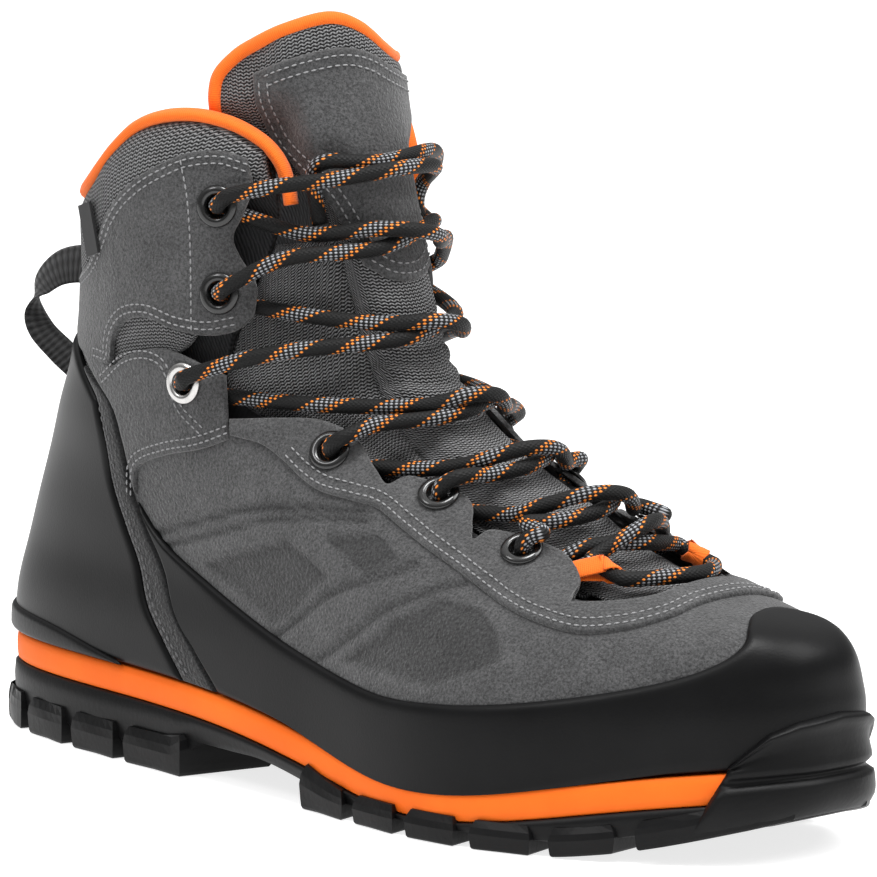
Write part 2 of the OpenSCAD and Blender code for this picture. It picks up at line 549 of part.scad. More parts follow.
// ---- Eyelets and lace ----
eyelet_at = [[113, 8.0], [110, 7.12], [95, 5.95], [125, 4.98], [141, 4.35], [143, 3.55]];
function eyelet_spot(k, side) = side > 0 ? eyelet_at[k - 1] : [360 - eyelet_at[k - 1][0], eyelet_at[k - 1][1]];
module eyelet_cut(k, side) {
    spot = eyelet_spot(k, side);
    on_skin(spot[0], spot[1])
        translate([0, 0, -5])
            cylinder(h = 10, r = eyelet_hole + 0.9, $fn = 24);
}
module eyelet(k, side) {
    spot = eyelet_spot(k, side);
    color([0.05, 0.05, 0.05])
    on_skin(spot[0], spot[1])
        rotate_extrude($fn = 48)
            polygon([[eyelet_hole, -0.9], [eyelet_hole + 0.55, -0.9], [eyelet_hole + 0.55, 1.35], [eyelet_flange, 1.35],
                [eyelet_flange, 1.6], [eyelet_flange - 0.5, 2.05], [eyelet_hole + 0.7, 2.2], [eyelet_hole + 0.15, 1.9],
                [eyelet_hole, 1.5]]);
}
// Webbing loop at the toe end of the throat: its hole runs along the throat's edge
loop_spot = [156, 3.34];
loop_lift = 0.2;
function loop_phi(side) = side > 0 ? loop_spot[0] : 360 - loop_spot[0];
module lace_loop(side) {
    p = off_skin(loop_phi(side), loop_spot[1], loop_lift) + centre;
    axis = unit(along_t(loop_phi(side), loop_spot[1]));
    color([0.95, 0.42, 0.09])
    translate(p)
        rotate([0, acos(axis[2]), atan2(axis[1], axis[0])])
            rotate_extrude($fn = 32)
                translate([lace_r + 1.0, -2])
                    square([1.1, 4]);
}

// Way of the lace through one eyelet, from the outside of the flap to its inside
function lace_turn(k, side) = let (
    spot = eyelet_spot(k, side),
    p = skin(spot[0], spot[1]),
    n = outward(spot[0], spot[1]),
    to_middle = unit(along_phi(spot[0], spot[1])) * side,
    up = unit(along_t(spot[0], spot[1])),
    over = unit(to_middle + up * 0.45),
    under = unit(to_middle - up * 0.55))
    [p + n * 5.3 + over * 6.5, p + n * 5 + over * 3.2, p + n * 3.3 + over * 0.75, p + n * 0.4,
     p - n * 2.4 + under * 0.9, p - n * 3.35 + under * 3.8, p - n * 3.4 + under * 7.5];
// Crossing between rows k and k + 1, on top of or under the other strand; side is where it starts
cross_t = [7.56, 6.62, 5.55, 4.68, 3.98];
// How far from the middle each strand bridges the gap beside the tongue: coming out, then going in
bridge_out = [41, 43, 52, 33, 26];
bridge_in = [48, 58, 39, 26, 30];
bridge_rise = [0.1, 0.22, 0.2, 0.14, 0.16];
function crossing(k, side, high) = let (t = cross_t[k - 1], rise = high ? 8.1 : 3, tilt = 0.1)
    [off_skin(180 - bridge_out[k - 1] * side, t + bridge_rise[k - 1], -1.1), off_skin(180 - 21 * side, t + tilt, 2.4),
     off_skin(180 - 7 * side, t + 0.04, rise), off_skin(180 + 7 * side, t - 0.04, rise),
     off_skin(180 + 21 * side, t - tilt, 2.8), off_skin(180 + bridge_in[k - 1] * side, t - bridge_rise[k - 1], 3.9)];
// Down the rows: out of one flap, over the tongue, in through the next eyelet
function strand_down(k, side) = concat(lace_turn(k, side), crossing(k, side, k % 2 == 0));
function strand_up(k, side) = concat(lace_turn(k, side), crossing(k, side, k % 2 == 1));
// Through the webbing loop, from its upper end to its lower end
function loop_turn(side) = let (
    p = off_skin(loop_phi(side), loop_spot[1], loop_lift),
    up = unit(along_t(loop_phi(side), loop_spot[1])),
    to_middle = unit(along_phi(loop_phi(side), loop_spot[1])) * side)
    [p + up * 7.8 + to_middle * 2.6, p + up * 4.8 + to_middle * 0.3, p, p - up * 4.2 + to_middle * 0.4,
     p - up * 6 + to_middle * 2.8];
lace_end_lateral = [off_skin(143.5, 7.75, -3.3), off_skin(143.5, 8.05, -3.2), off_skin(145, 8.24, -0.4),
    off_skin(152, 8.28, 2.3), off_skin(168, 8.22, 2.5), off_skin(186, 8.24, 2.5), off_skin(206, 8.27, 3.6),
    off_skin(226, 8.22, 4.6)];
lace_end_medial = [off_skin(216.5, 7.6, -3.3), off_skin(216.5, 7.85, -3.2), off_skin(214.5, 8.02, -0.4),
    off_skin(208, 8.08, 2.4), off_skin(194, 8.13, 7.4), off_skin(174, 8.14, 7.6), off_skin(156, 8.12, 4.6),
    off_skin(134, 8.12, 4.6)];
route = concat(lace_end_lateral,
    strand_down(1, -1), strand_down(2, 1), strand_down(3, -1), strand_down(4, 1), strand_down(5, -1),
    lace_turn(6, 1), [off_skin(160, 3.62, 0.9), off_skin(178, 3.6, 1.6)],
    loop_turn(-1), [off_skin(180, 3.2, 0.9)], reversed(loop_turn(1)), [off_skin(178, 3.62, 6.8), off_skin(196, 3.66, 4)],
    reversed(lace_turn(6, -1)),
    reversed(strand_up(5, 1)), reversed(strand_up(4, -1)), reversed(strand_up(3, 1)), reversed(strand_up(2, -1)),
    reversed(strand_up(1, 1)), reversed(lace_end_medial));
module lace() {
    color([0.12, 0.12, 0.12])
    tube(route, sides_along(bearings(route)), lace_r, lace_r, 8);
}

// ---- Pull loop, its sewn tabs and the side label ----
// Middle line of the webbing and the direction of its width
loop_line = [[-117, 0, 126], [-124, -2, 127.5], [-131, -5, 126], [-136, -7.5, 121], [-137, -9, 115], [-134.5, -9, 109],
    [-129.5, -6, 103], [-124.5, -3, 97.5]];
loop_width = [[0, 0.5, 0.87], [0, 0.45, 0.9], [-0.3, 0.4, 0.86], [-0.5, 0.5, 0.7], [-0.4, 0.8, 0.4], [-0.2, 0.95, 0.2],
    [0, 1, 0.1], [0, 1, 0]];
module pull_loop() {
    color([0.09, 0.09, 0.1])
    union() {
        spots = [for (i = [0:21]) walk(loop_line, i / 21)];
        path = [for (p = spots) [p[0] * stretch[0], p[1] * stretch[1], p[2] * stretch[2]]];
        tube_sides = [for (i = [0:21]) walk(loop_width, i / 21)];
        ribbon(path, tube_sides, webbing_width / 2, webbing_thickness / 2);
    }
}
// Flat ribbon along a path
module ribbon(path, sides, half_width, half_thick) {
    dirs = bearings(path);
    n = len(path);
    points = [for (i = [0:n - 1]) let (v = straighten(sides[i], dirs[i]), w = cross(dirs[i], v))
        for (c = [[1, 1], [-1, 1], [-1, -1], [1, -1]]) path[i] + v * half_width * c[0] + w * half_thick * c[1]];
    walls = [for (i = [0:n - 2]) for (k = [0:3]) for (h = [0, 1])
        let (a = i * 4 + k, b = i * 4 + (k + 1) % 4)
        h == 0 ? [a, a + 4, b] : [b, a + 4, b + 4]];
    ends = [[0, 1, 2, 3], [(n - 1) * 4 + 3, (n - 1) * 4 + 2, (n - 1) * 4 + 1, (n - 1) * 4]];
    translate(centre)
        polyhedron(points = points, faces = concat(walls, ends), convexity = 6);
}
module loop_tabs() {
    color([0.09, 0.09, 0.1])
    strip([[-8, 6.75], [8, 6.75]], [[-8, 7.2], [8, 7.2]], 4, 2, 1.3, 2.9);
}
label_seam = [68, 7.9];
label_tilt = 16;
module side_label() {
    color([0.06, 0.06, 0.06])
    on_skin(label_seam[0], label_seam[1])
        rotate([0, 0, label_tilt])
            translate([-7, -7, 1.5])
                cube([14, 7, 0.8]);
}

outsole();
midsole();
shank();
insole_board();
footbed();
heel_lip();
toe_bumper();
rand();
heel_cover();
heel_trim(1);  // heel_trim_lateral
heel_trim(-1);  // heel_trim_medial
toe_puff();
heel_counter();
lining_foot();
lining_shaft();
vamp();
heel_quarter();
quarter(1);  // quarter_lateral
quarter(-1);  // quarter_medial
collar_pad();
cuff(1);  // cuff_lateral
cuff(-1);  // cuff_medial
ankle(1);  // ankle_lateral
ankle(-1);  // ankle_medial
eyestay();
collar_binding();
tongue_lower();
gusset(1);  // gusset_lateral
gusset(-1);  // gusset_medial
tongue_patch_lower();
tongue_upper();
tongue_patch_upper();
tongue_binding();
eyelet(1, 1);  // eyelet_lateral_1
eyelet(2, 1);  // eyelet_lateral_2
eyelet(3, 1);  // eyelet_lateral_3
eyelet(4, 1);  // eyelet_lateral_4
eyelet(5, 1);  // eyelet_lateral_5
eyelet(6, 1);  // eyelet_lateral_6
eyelet(1, -1);  // eyelet_medial_1
eyelet(2, -1);  // eyelet_medial_2
eyelet(3, -1);  // eyelet_medial_3
eyelet(4, -1);  // eyelet_medial_4
eyelet(5, -1);  // eyelet_medial_5
eyelet(6, -1);  // eyelet_medial_6
lace_loop(1);  // lace_loop_lateral
lace_loop(-1);  // lace_loop_medial
lace();
pull_loop();
loop_tabs();
side_label();
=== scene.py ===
"""Visual model of an ankle-high hiking boot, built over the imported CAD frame.

Lengths inside the classes are millimetres in the CAD frame; meshes are written in metres.
The toe points to +X, the outer side of the foot to -Y.
"""

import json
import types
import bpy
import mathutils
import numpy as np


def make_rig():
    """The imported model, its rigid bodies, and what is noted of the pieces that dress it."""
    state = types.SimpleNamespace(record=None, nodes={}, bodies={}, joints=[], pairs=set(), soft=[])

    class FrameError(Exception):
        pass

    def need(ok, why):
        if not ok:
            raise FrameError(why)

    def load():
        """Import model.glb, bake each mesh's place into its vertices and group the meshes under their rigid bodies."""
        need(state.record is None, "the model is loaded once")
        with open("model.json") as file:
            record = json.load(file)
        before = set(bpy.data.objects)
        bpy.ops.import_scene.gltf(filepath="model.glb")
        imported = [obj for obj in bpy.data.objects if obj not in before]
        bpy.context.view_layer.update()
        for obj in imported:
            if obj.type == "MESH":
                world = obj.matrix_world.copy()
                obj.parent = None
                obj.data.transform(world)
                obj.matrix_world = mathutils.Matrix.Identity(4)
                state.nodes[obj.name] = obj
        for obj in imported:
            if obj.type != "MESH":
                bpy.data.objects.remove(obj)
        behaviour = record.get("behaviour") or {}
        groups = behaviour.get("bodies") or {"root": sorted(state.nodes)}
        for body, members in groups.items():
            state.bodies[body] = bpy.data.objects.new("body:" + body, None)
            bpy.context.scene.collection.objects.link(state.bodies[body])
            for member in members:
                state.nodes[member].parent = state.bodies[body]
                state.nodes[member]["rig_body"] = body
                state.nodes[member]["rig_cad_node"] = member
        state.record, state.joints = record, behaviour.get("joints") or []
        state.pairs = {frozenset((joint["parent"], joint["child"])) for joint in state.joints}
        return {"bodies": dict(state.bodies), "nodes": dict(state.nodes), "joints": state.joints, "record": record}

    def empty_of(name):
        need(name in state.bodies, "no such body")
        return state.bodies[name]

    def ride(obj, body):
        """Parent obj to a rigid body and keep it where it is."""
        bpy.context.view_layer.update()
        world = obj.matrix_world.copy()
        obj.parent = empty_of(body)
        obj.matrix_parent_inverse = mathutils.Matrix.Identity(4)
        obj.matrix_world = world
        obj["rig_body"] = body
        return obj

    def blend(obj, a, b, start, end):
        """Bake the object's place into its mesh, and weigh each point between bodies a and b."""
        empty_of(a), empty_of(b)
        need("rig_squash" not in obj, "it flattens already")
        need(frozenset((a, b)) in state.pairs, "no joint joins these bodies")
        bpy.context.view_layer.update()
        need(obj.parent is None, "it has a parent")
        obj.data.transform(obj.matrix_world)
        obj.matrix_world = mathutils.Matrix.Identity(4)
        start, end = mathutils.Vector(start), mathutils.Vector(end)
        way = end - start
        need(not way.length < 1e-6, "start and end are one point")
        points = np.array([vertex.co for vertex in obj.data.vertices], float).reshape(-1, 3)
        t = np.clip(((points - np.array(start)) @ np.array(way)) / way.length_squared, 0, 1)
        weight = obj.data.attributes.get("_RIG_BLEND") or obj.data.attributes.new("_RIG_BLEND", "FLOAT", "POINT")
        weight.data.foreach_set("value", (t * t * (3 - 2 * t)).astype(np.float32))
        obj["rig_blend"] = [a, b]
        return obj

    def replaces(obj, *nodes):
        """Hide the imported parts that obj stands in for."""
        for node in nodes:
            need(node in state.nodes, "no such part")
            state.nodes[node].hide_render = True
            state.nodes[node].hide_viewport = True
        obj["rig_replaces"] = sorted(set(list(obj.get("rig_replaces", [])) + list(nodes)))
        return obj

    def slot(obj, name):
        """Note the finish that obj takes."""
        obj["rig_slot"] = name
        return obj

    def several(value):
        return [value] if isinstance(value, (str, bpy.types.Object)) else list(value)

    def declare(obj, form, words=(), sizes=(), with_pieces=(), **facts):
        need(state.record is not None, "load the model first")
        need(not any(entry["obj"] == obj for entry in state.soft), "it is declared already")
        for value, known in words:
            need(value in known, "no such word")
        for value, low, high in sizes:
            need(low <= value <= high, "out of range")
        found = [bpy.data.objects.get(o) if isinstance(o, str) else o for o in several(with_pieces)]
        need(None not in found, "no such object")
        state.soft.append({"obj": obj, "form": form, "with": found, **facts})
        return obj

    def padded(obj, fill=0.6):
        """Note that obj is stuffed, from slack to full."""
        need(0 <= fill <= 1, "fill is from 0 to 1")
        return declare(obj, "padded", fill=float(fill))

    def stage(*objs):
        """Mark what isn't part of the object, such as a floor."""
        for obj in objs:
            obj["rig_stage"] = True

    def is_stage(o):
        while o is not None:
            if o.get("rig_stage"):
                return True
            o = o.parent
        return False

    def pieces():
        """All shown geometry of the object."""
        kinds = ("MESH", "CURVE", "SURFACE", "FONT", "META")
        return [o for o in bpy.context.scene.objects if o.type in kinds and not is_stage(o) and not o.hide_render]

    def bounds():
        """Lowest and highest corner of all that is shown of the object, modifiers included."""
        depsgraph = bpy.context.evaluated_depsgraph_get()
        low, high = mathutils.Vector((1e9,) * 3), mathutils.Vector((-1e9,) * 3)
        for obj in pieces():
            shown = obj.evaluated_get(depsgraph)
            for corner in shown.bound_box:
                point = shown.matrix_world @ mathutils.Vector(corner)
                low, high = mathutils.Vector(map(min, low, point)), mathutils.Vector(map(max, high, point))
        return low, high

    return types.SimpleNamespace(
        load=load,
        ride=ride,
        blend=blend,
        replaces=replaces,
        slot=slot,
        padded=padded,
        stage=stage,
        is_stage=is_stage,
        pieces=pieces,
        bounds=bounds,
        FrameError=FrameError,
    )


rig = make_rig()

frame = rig.load()

import json
import logging
import math
from dataclasses import dataclass, field
from enum import Enum

import bmesh
import bpy
import numpy as np
from mathutils import Matrix, Vector

LOG = logging.getLogger("boot")
CAD_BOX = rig.bounds()
MM = 0.001
Border = list[tuple[float, float]]
Colour = tuple[float, float, float]


class Side(Enum):
    """Which half of the boot a piece is on."""

    OUTER = 1
    INNER = -1


class Body(Enum):
    """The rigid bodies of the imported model."""

    BOOT = "boot"
    TONGUE = "tongue_top"
    LOOP = "pull_loop"
    LABEL = "side_label"


# ---------------------------------------------------------------- shape of the last


def at_rows(table: np.ndarray, place: np.ndarray) -> np.ndarray:
    """Smooth value of an evenly spaced table at fractional rows.

    Args:
        table: one row per step, any number of columns.
        place: fractional row numbers.

    Returns:
        One row per place.
    """
    table = np.asarray(table, float)
    if table.ndim == 1:
        table = table[:, None]
    last = len(table) - 1
    slope = np.empty_like(table)
    slope[1:-1] = (table[2:] - table[:-2]) / 2
    slope[0], slope[-1] = table[1] - table[0], table[-1] - table[-2]
    place = np.asarray(place, float)
    i = np.clip(np.floor(place).astype(int), 0, last - 1)
    w = (place - i)[:, None]
    w2, w3 = w * w, w * w * w
    return (
        table[i] * (2 * w3 - 3 * w2 + 1)
        + slope[i] * (w3 - 2 * w2 + w)
        + table[i + 1] * (3 * w2 - 2 * w3)
        + slope[i + 1] * (w3 - w2)
    )


def smooth(value: np.ndarray, low: float, high: float) -> np.ndarray:
    """Smooth step from 0 at low to 1 at high.

    Args:
        value: numbers to map.
        low: value where the step starts.
        high: value where it ends.

    Returns:
        Numbers from 0 to 1.
    """
    w = np.clip((np.asarray(value, float) - low) / (high - low), 0, 1)
    return w * w * (3 - 2 * w)


@dataclass
class Last:
    """The boot's outer form: rings from the sole edge up, and a direction round each ring."""

    centre: tuple[float, float, float] = (-1.4, 0.3, 0.0)
    front: dict[str, list[float]] = field(
        default_factory=lambda: {
            "x": [146, 146.5, 141, 110, 68, 36, 15, 3, -6, -13, -15],
            "y": [9, 9, 8, 6, 3, 1, 0, 0, 0, 0, 0],
            "z": [27, 43, 57, 66, 80, 94, 110, 132, 160, 192, 224],
        }
    )
    back: dict[str, list[float]] = field(
        default_factory=lambda: {
            "x": [-144, -142, -138, -133, -128, -122, -116, -112, -111, -113, -116],
            "z": [26, 39, 53, 66, 79, 92, 106, 123, 143, 166, 190],
        }
    )
    stations: tuple[float, ...] = (0, 0.25, 0.5, 0.74, 1)
    outer_width: list[list[float]] = field(
        default_factory=lambda: [
            [35, 36, 44, 56, 44], [37, 38, 45, 55, 44], [37, 38, 44, 50, 40], [37, 38, 43, 45, 38],
            [37, 38, 41, 42, 36], [38, 39, 40, 39, 34], [39, 40, 40, 37, 33], [39, 41, 41, 36, 32],
            [39, 42, 41, 36, 31], [40, 42, 41, 36, 31], [41, 42, 41, 36, 31],
        ]
    )
    inner_width: list[list[float]] = field(
        default_factory=lambda: [
            [32, 32, 38, 46, 38], [34, 34, 39, 46, 38], [34, 35, 39, 43, 34], [34, 36, 39, 40, 31],
            [34, 36, 39, 37, 30], [35, 38, 39, 37, 32], [36, 39, 40, 38, 34], [37, 40, 41, 39, 35],
            [37, 41, 42, 39, 35], [38, 41, 42, 39, 34], [39, 41, 42, 39, 34],
        ]
    )
    front_square: tuple[float, ...] = (2.7, 2.6, 2.4, 2.3, 2.2, 2.1, 2, 2, 2, 2, 2)
    back_square: tuple[float, ...] = (2.4, 2.4, 2.3, 2.3, 2.2, 2.2, 2.1, 2.1, 2.1, 2.1, 2.1)
    dip: tuple[float, ...] = (-13, -6, -2, 0, 0, 0, 0, 0, 0, 0, 0)

    def width(self, table: list[list[float]], t: np.ndarray, s: np.ndarray) -> np.ndarray:
        """Half width of ring t at share s of its length, 0 at the heel.

        Args:
            table: rows of ring number and half widths at the stations.
            t: ring number, 0 at the sole edge and rising to the collar.
            s: share of the length, 0 at the heel.

        Returns:
            Half widths in millimetres.
        """
        w = at_rows(np.array(table), t)
        st = np.array(self.stations)
        slope = np.empty_like(w)
        for i in range(5):
            a, b = max(i - 1, 0), min(i + 1, 4)
            slope[:, i] = (w[:, b] - w[:, a]) / (st[b] - st[a])
        i = np.clip(np.searchsorted(st, s, side="right") - 1, 0, 3)
        k = np.arange(len(s))
        h = st[i + 1] - st[i]
        q = (s - st[i]) / h
        q2, q3 = q * q, q * q * q
        return (
            w[k, i] * (2 * q3 - 3 * q2 + 1)
            + slope[k, i] * h * (q3 - 2 * q2 + q)
            + w[k, i + 1] * (3 * q2 - 2 * q3)
            + slope[k, i + 1] * h * (q3 - q2)
        )

    def point(self, phi: np.ndarray, t: np.ndarray) -> np.ndarray:
        """Points on the last, in millimetres.

        Args:
            phi: directions in degrees, 0 at the back, 90 on the outer side, 180 at the front.
            t: ring numbers, 0 at the sole edge.

        Returns:
            One row of x, y, z for each direction.
        """
        phi, t = (np.asarray(a, float).ravel() for a in np.broadcast_arrays(phi, t))
        s = (1 - np.cos(np.radians(phi))) / 2
        power = np.where(
            s > 0.5, at_rows(self.front_square, t)[:, 0], at_rows(self.back_square, t)[:, 0]
        )
        cap = np.maximum(1 - np.abs(2 * s - 1) ** power, 0) ** (1 / power)
        outer = np.sin(np.radians(phi)) > 0
        half = np.where(
            outer, -self.width(self.outer_width, t, s), self.width(self.inner_width, t, s)
        )
        bx, bz = (at_rows(self.back[k], t)[:, 0] for k in "xz")
        fx, fy, fz = (at_rows(self.front[k], t)[:, 0] for k in "xyz")
        drop = (s - 0.68) / 0.22
        return np.stack(
            [
                bx + (fx - bx) * s + self.centre[0],
                fy * s * s + half * cap + self.centre[1],
                bz + (fz - bz) * s + at_rows(self.dip, t)[:, 0] * np.exp(-drop * drop),
            ],
            1,
        )

    def along(self, phi: np.ndarray, t: np.ndarray) -> tuple[np.ndarray, np.ndarray]:
        """Rates of change of the surface, per degree and per ring.

        Args:
            phi: direction round the last in degrees, 0 at the heel and 180 at the toe.
            t: ring number, 0 at the sole edge and rising to the collar.

        Returns:
            The two rates, one row per spot.
        """
        phi, t = (np.asarray(a, float).ravel() for a in np.broadcast_arrays(phi, t))
        low = np.maximum(t - 0.04, 0)
        return (
            (self.point(phi + 1.5, t) - self.point(phi - 1.5, t)) / 3,
            (self.point(phi, t + 0.04) - self.point(phi, low)) / (t + 0.04 - low)[:, None],
        )

    def normal(self, phi: np.ndarray, t: np.ndarray) -> np.ndarray:
        """Outward unit normals of the last.

        Args:
            phi: direction round the last in degrees, 0 at the heel and 180 at the toe.
            t: ring number, 0 at the sole edge and rising to the collar.

        Returns:
            One unit vector per spot.
        """
        n = np.cross(*self.along(phi, t))
        return n / np.linalg.norm(n, axis=1, keepdims=True)

    def off(self, phi: np.ndarray, t: np.ndarray, d: np.ndarray) -> np.ndarray:
        """Points at distance d outside the last.

        Args:
            phi: direction round the last in degrees, 0 at the heel and 180 at the toe.
            t: ring number, 0 at the sole edge and rising to the collar.
            d: distance outwards, in millimetres.

        Returns:
            Points in millimetres.
        """
        d = np.broadcast_to(np.asarray(d, float), np.broadcast(phi, t).shape).ravel()
        return self.point(phi, t) + self.normal(phi, t) * d[:, None]

    def sole_edge(self, phi: np.ndarray, d: float | np.ndarray) -> np.ndarray:
        """Plan outline of the sole edge, moved outwards by d, as x and y.

        Args:
            phi: direction round the last in degrees, 0 at the heel and 180 at the toe.
            d: distance outwards, in millimetres.

        Returns:
            Rows of x and y.
        """
        p = self.point(phi, np.zeros(len(phi)))
        q = self.point(phi + 2, np.zeros(len(phi))) - self.point(phi - 2, np.zeros(len(phi)))
        n = np.stack([q[:, 1], -q[:, 0]], 1)
        n /= np.linalg.norm(n, axis=1, keepdims=True)
        return p[:, :2] + n * np.reshape(d, (-1, 1))


LAST = Last()


def resample(border: Border, places: np.ndarray) -> np.ndarray:
    """Points of a border at shares 0 to 1 of its list.

    Args:
        border: directions and rings.
        places: shares of the border's list, from 0 to 1.

    Returns:
        Rows of direction and ring.
    """
    return at_rows(np.array(border, float), np.asarray(places) * (len(border) - 1))


def even(border: Border, count: int) -> np.ndarray:
    """Points of a border at equal distances along the boot's surface.

    Args:
        border: directions and rings.
        count: number of points.

    Returns:
        Rows of direction and ring.
    """
    fine = resample(border, np.linspace(0, 1, 500))
    p = LAST.point(fine[:, 0], fine[:, 1])
    run = np.concatenate([[0], np.cumsum(np.linalg.norm(np.diff(p, axis=0), axis=1))])
    want = np.linspace(0, run[-1], count)
    return np.stack([np.interp(want, run, fine[:, k]) for k in (0, 1)], 1)


def inset(border: Border, distance: float, count: int = 160) -> np.ndarray:
    """A line beside a border, on the surface.

    Args:
        border: directions and rings.
        distance: millimetres to the left of the border, seen from outside.
        count: number of points.

    Returns:
        Rows of direction and ring.
    """
    line = even(border, count)
    a, b = LAST.along(line[:, 0], line[:, 1])
    p = LAST.point(line[:, 0], line[:, 1])
    run = np.gradient(p, axis=0)
    side = np.cross(LAST.normal(line[:, 0], line[:, 1]), run)
    side *= distance / np.linalg.norm(side, axis=1, keepdims=True)
    aa, bb, ab = (a * a).sum(1), (b * b).sum(1), (a * b).sum(1)
    sa, sb = (side * a).sum(1), (side * b).sum(1)
    det = aa * bb - ab * ab
    return line + np.stack([(sa * bb - sb * ab) / det, (sb * aa - sa * ab) / det], 1)


def mirrored(border: Border) -> Border:
    """The same border on the other side of the boot.

    Args:
        border: directions and rings.

    Returns:
        The mirrored border.
    """
    return [(360 - p[0], p[1]) for p in border]


def round_front(border: Border) -> Border:
    """An outer border carried on round the toe to the inner side.

    Args:
        border: directions and rings.

    Returns:
        The whole border, outer side first.
    """
    return list(border) + mirrored(border[:-1])[::-1]


def round_back(border: Border) -> Border:
    """An outer border carried on round the heel, inner side first.

    Args:
        border: directions and rings.

    Returns:
        The whole border.
    """
    return [(-p[0], p[1]) for p in border[:0:-1]] + list(border)


def spread(count: int, length: float, roll: tuple[float, ...] = (0.2, 0.5, 0.9, 1.5)) -> np.ndarray:
    """Shares 0 to 1 with extra rows near both ends for a rolled edge.

    Args:
        count: number of shares.
        length: length that they cover, in millimetres.
        roll: distances from each end that get an extra row.

    Returns:
        Rising shares from 0 to 1.
    """
    near = np.array([r / length for r in roll if r / length < 0.3])
    inner = np.linspace(near[-1], 1 - near[-1], max(count - 2 * len(near), 3))[1:-1]
    return np.concatenate([[0], near, inner, 1 - near[::-1], [1]])


def coons(low: Border, high: Border, first: Border, last: Border, u: np.ndarray, v: np.ndarray) -> np.ndarray:
    """Grid of directions and rings between four borders.

    Args:
        low: lower border.
        high: upper border.
        first: border from the start of low to the start of high.
        last: border from the end of low to the end of high.
        u: shares along low and high.
        v: shares along first and last.

    Returns:
        Array of v rows by u columns by 2.
    """
    lo, hi = resample(low, u)[None], resample(high, u)[None]
    fi, la = resample(first, v)[:, None], resample(last, v)[:, None]
    u_, v_ = u[None, :, None], v[:, None, None]
    corner = [np.array(c, float) for c in (low[0], low[-1], high[0], high[-1])]
    return (
        (1 - v_) * lo + v_ * hi + (1 - u_) * fi + u_ * la
        - (1 - u_) * (1 - v_) * corner[0] - u_ * (1 - v_) * corner[1]
        - (1 - u_) * v_ * corner[2] - u_ * v_ * corner[3]
    )


# ---------------------------------------------------------------- meshes


def add_mesh(name: str, points: np.ndarray, faces: list, uv: np.ndarray | None = None) -> bpy.types.Object:
    """Makes a smooth mesh object at the origin.

    Args:
        name: object name.
        points: rows of x, y, z in millimetres.
        faces: corner numbers of each face.
        uv: metres across and along the cloth for each point.

    Returns:
        The new object.
    """
    mesh = bpy.data.meshes.new(name)
    mesh.from_pydata((np.asarray(points) * MM).tolist(), [], [list(map(int, f)) for f in faces])
    if uv is not None:
        layer = mesh.uv_layers.new(name="cloth")
        index = np.empty(len(mesh.loops), int)
        mesh.loops.foreach_get("vertex_index", index)
        layer.data.foreach_set("uv", np.asarray(uv, np.float32)[index].ravel())
    mesh.polygons.foreach_set("use_smooth", [True] * len(mesh.polygons))
    mesh.update()
    made = bpy.data.objects.new(name, mesh)
    bpy.context.scene.collection.objects.link(made)
    return made


def grid_faces(rows: int, columns: int, start: int = 0, turn: bool = False, closed: bool = False) -> list:
    """Quads of a grid of points, turned over on request.

    Args:
        rows: points along the first way.
        columns: points along the second way.
        start: index of the first point.
        turn: whether the faces point the other way.
        closed: whether the columns close into a ring.

    Returns:
        Faces as tuples of point numbers.
    """
    made = []
    span = columns if closed else columns - 1
    for j in range(rows - 1):
        for i in range(span):
            k = (i + 1) % columns
            a, b = start + j * columns + i, start + j * columns + k
            c, d = start + (j + 1) * columns + k, start + (j + 1) * columns + i
            made.append((a, b, c, d) if turn else (a, d, c, b))
    return made


def shell(
    name: str, spots: np.ndarray, outer: np.ndarray, inner: np.ndarray, closed: bool = False
) -> bpy.types.Object:
    """Closed solid between two offsets of the last.

    Args:
        name: object name.
        spots: rows by columns by direction and ring.
        outer: distance of the outer face at each spot.
        inner: distance of the inner face at each spot.
        closed: whether the columns close into a ring.

    Returns:
        The new object, with its faces pointing out.
    """
    rows, cols = spots.shape[:2]
    phi, t = spots[..., 0].ravel(), spots[..., 1].ravel()
    out = LAST.off(phi, t, np.broadcast_to(outer, (rows, cols)).ravel())
    back = LAST.off(phi, t, np.broadcast_to(inner, (rows, cols)).ravel())
    grid = out.reshape(rows, cols, 3)
    across = np.zeros((rows, cols))
    across[:, 1:] = np.cumsum(np.linalg.norm(np.diff(grid, axis=1), axis=2), axis=1)
    across -= across[:, cols // 2][:, None]
    up = np.zeros((rows, cols))
    up[1:] = np.cumsum(np.linalg.norm(np.diff(grid, axis=0), axis=2), axis=0)
    uv = np.stack([across.ravel(), up.ravel()], 1) * MM
    half = rows * cols
    faces = grid_faces(rows, cols, 0, False, closed) + grid_faces(rows, cols, half, True, closed)
    span = cols if closed else cols - 1
    for i in range(span):
        k = (i + 1) % cols
        faces.append((i, k, half + k, half + i))
        top = (rows - 1) * cols
        faces.append((top + i, half + top + i, half + top + k, top + k))
    if not closed:
        for j in range(rows - 1):
            a, b = j * cols, (j + 1) * cols
            faces.append((a, half + a, half + b, b))
            e, f = a + cols - 1, b + cols - 1
            faces.append((e, f, half + f, half + e))
    made = add_mesh(name, np.concatenate([out, back]), faces, np.concatenate([uv, uv]))
    if signed_volume(made) < 0:
        made.data.flip_normals()
    return made


def signed_volume(piece: bpy.types.Object) -> float:
    """Signed volume of a closed mesh, negative if it is inside out.

    Args:
        piece: the mesh object.

    Returns:
        Six times the volume, with its sign.
    """
    mesh = piece.data
    mesh.calc_loop_triangles()
    p = np.array([v.co for v in mesh.vertices])
    tri = np.array([t.vertices for t in mesh.loop_triangles])
    return float(np.einsum("ij,ij->i", p[tri[:, 0]], np.cross(p[tri[:, 1]], p[tri[:, 2]])).sum())


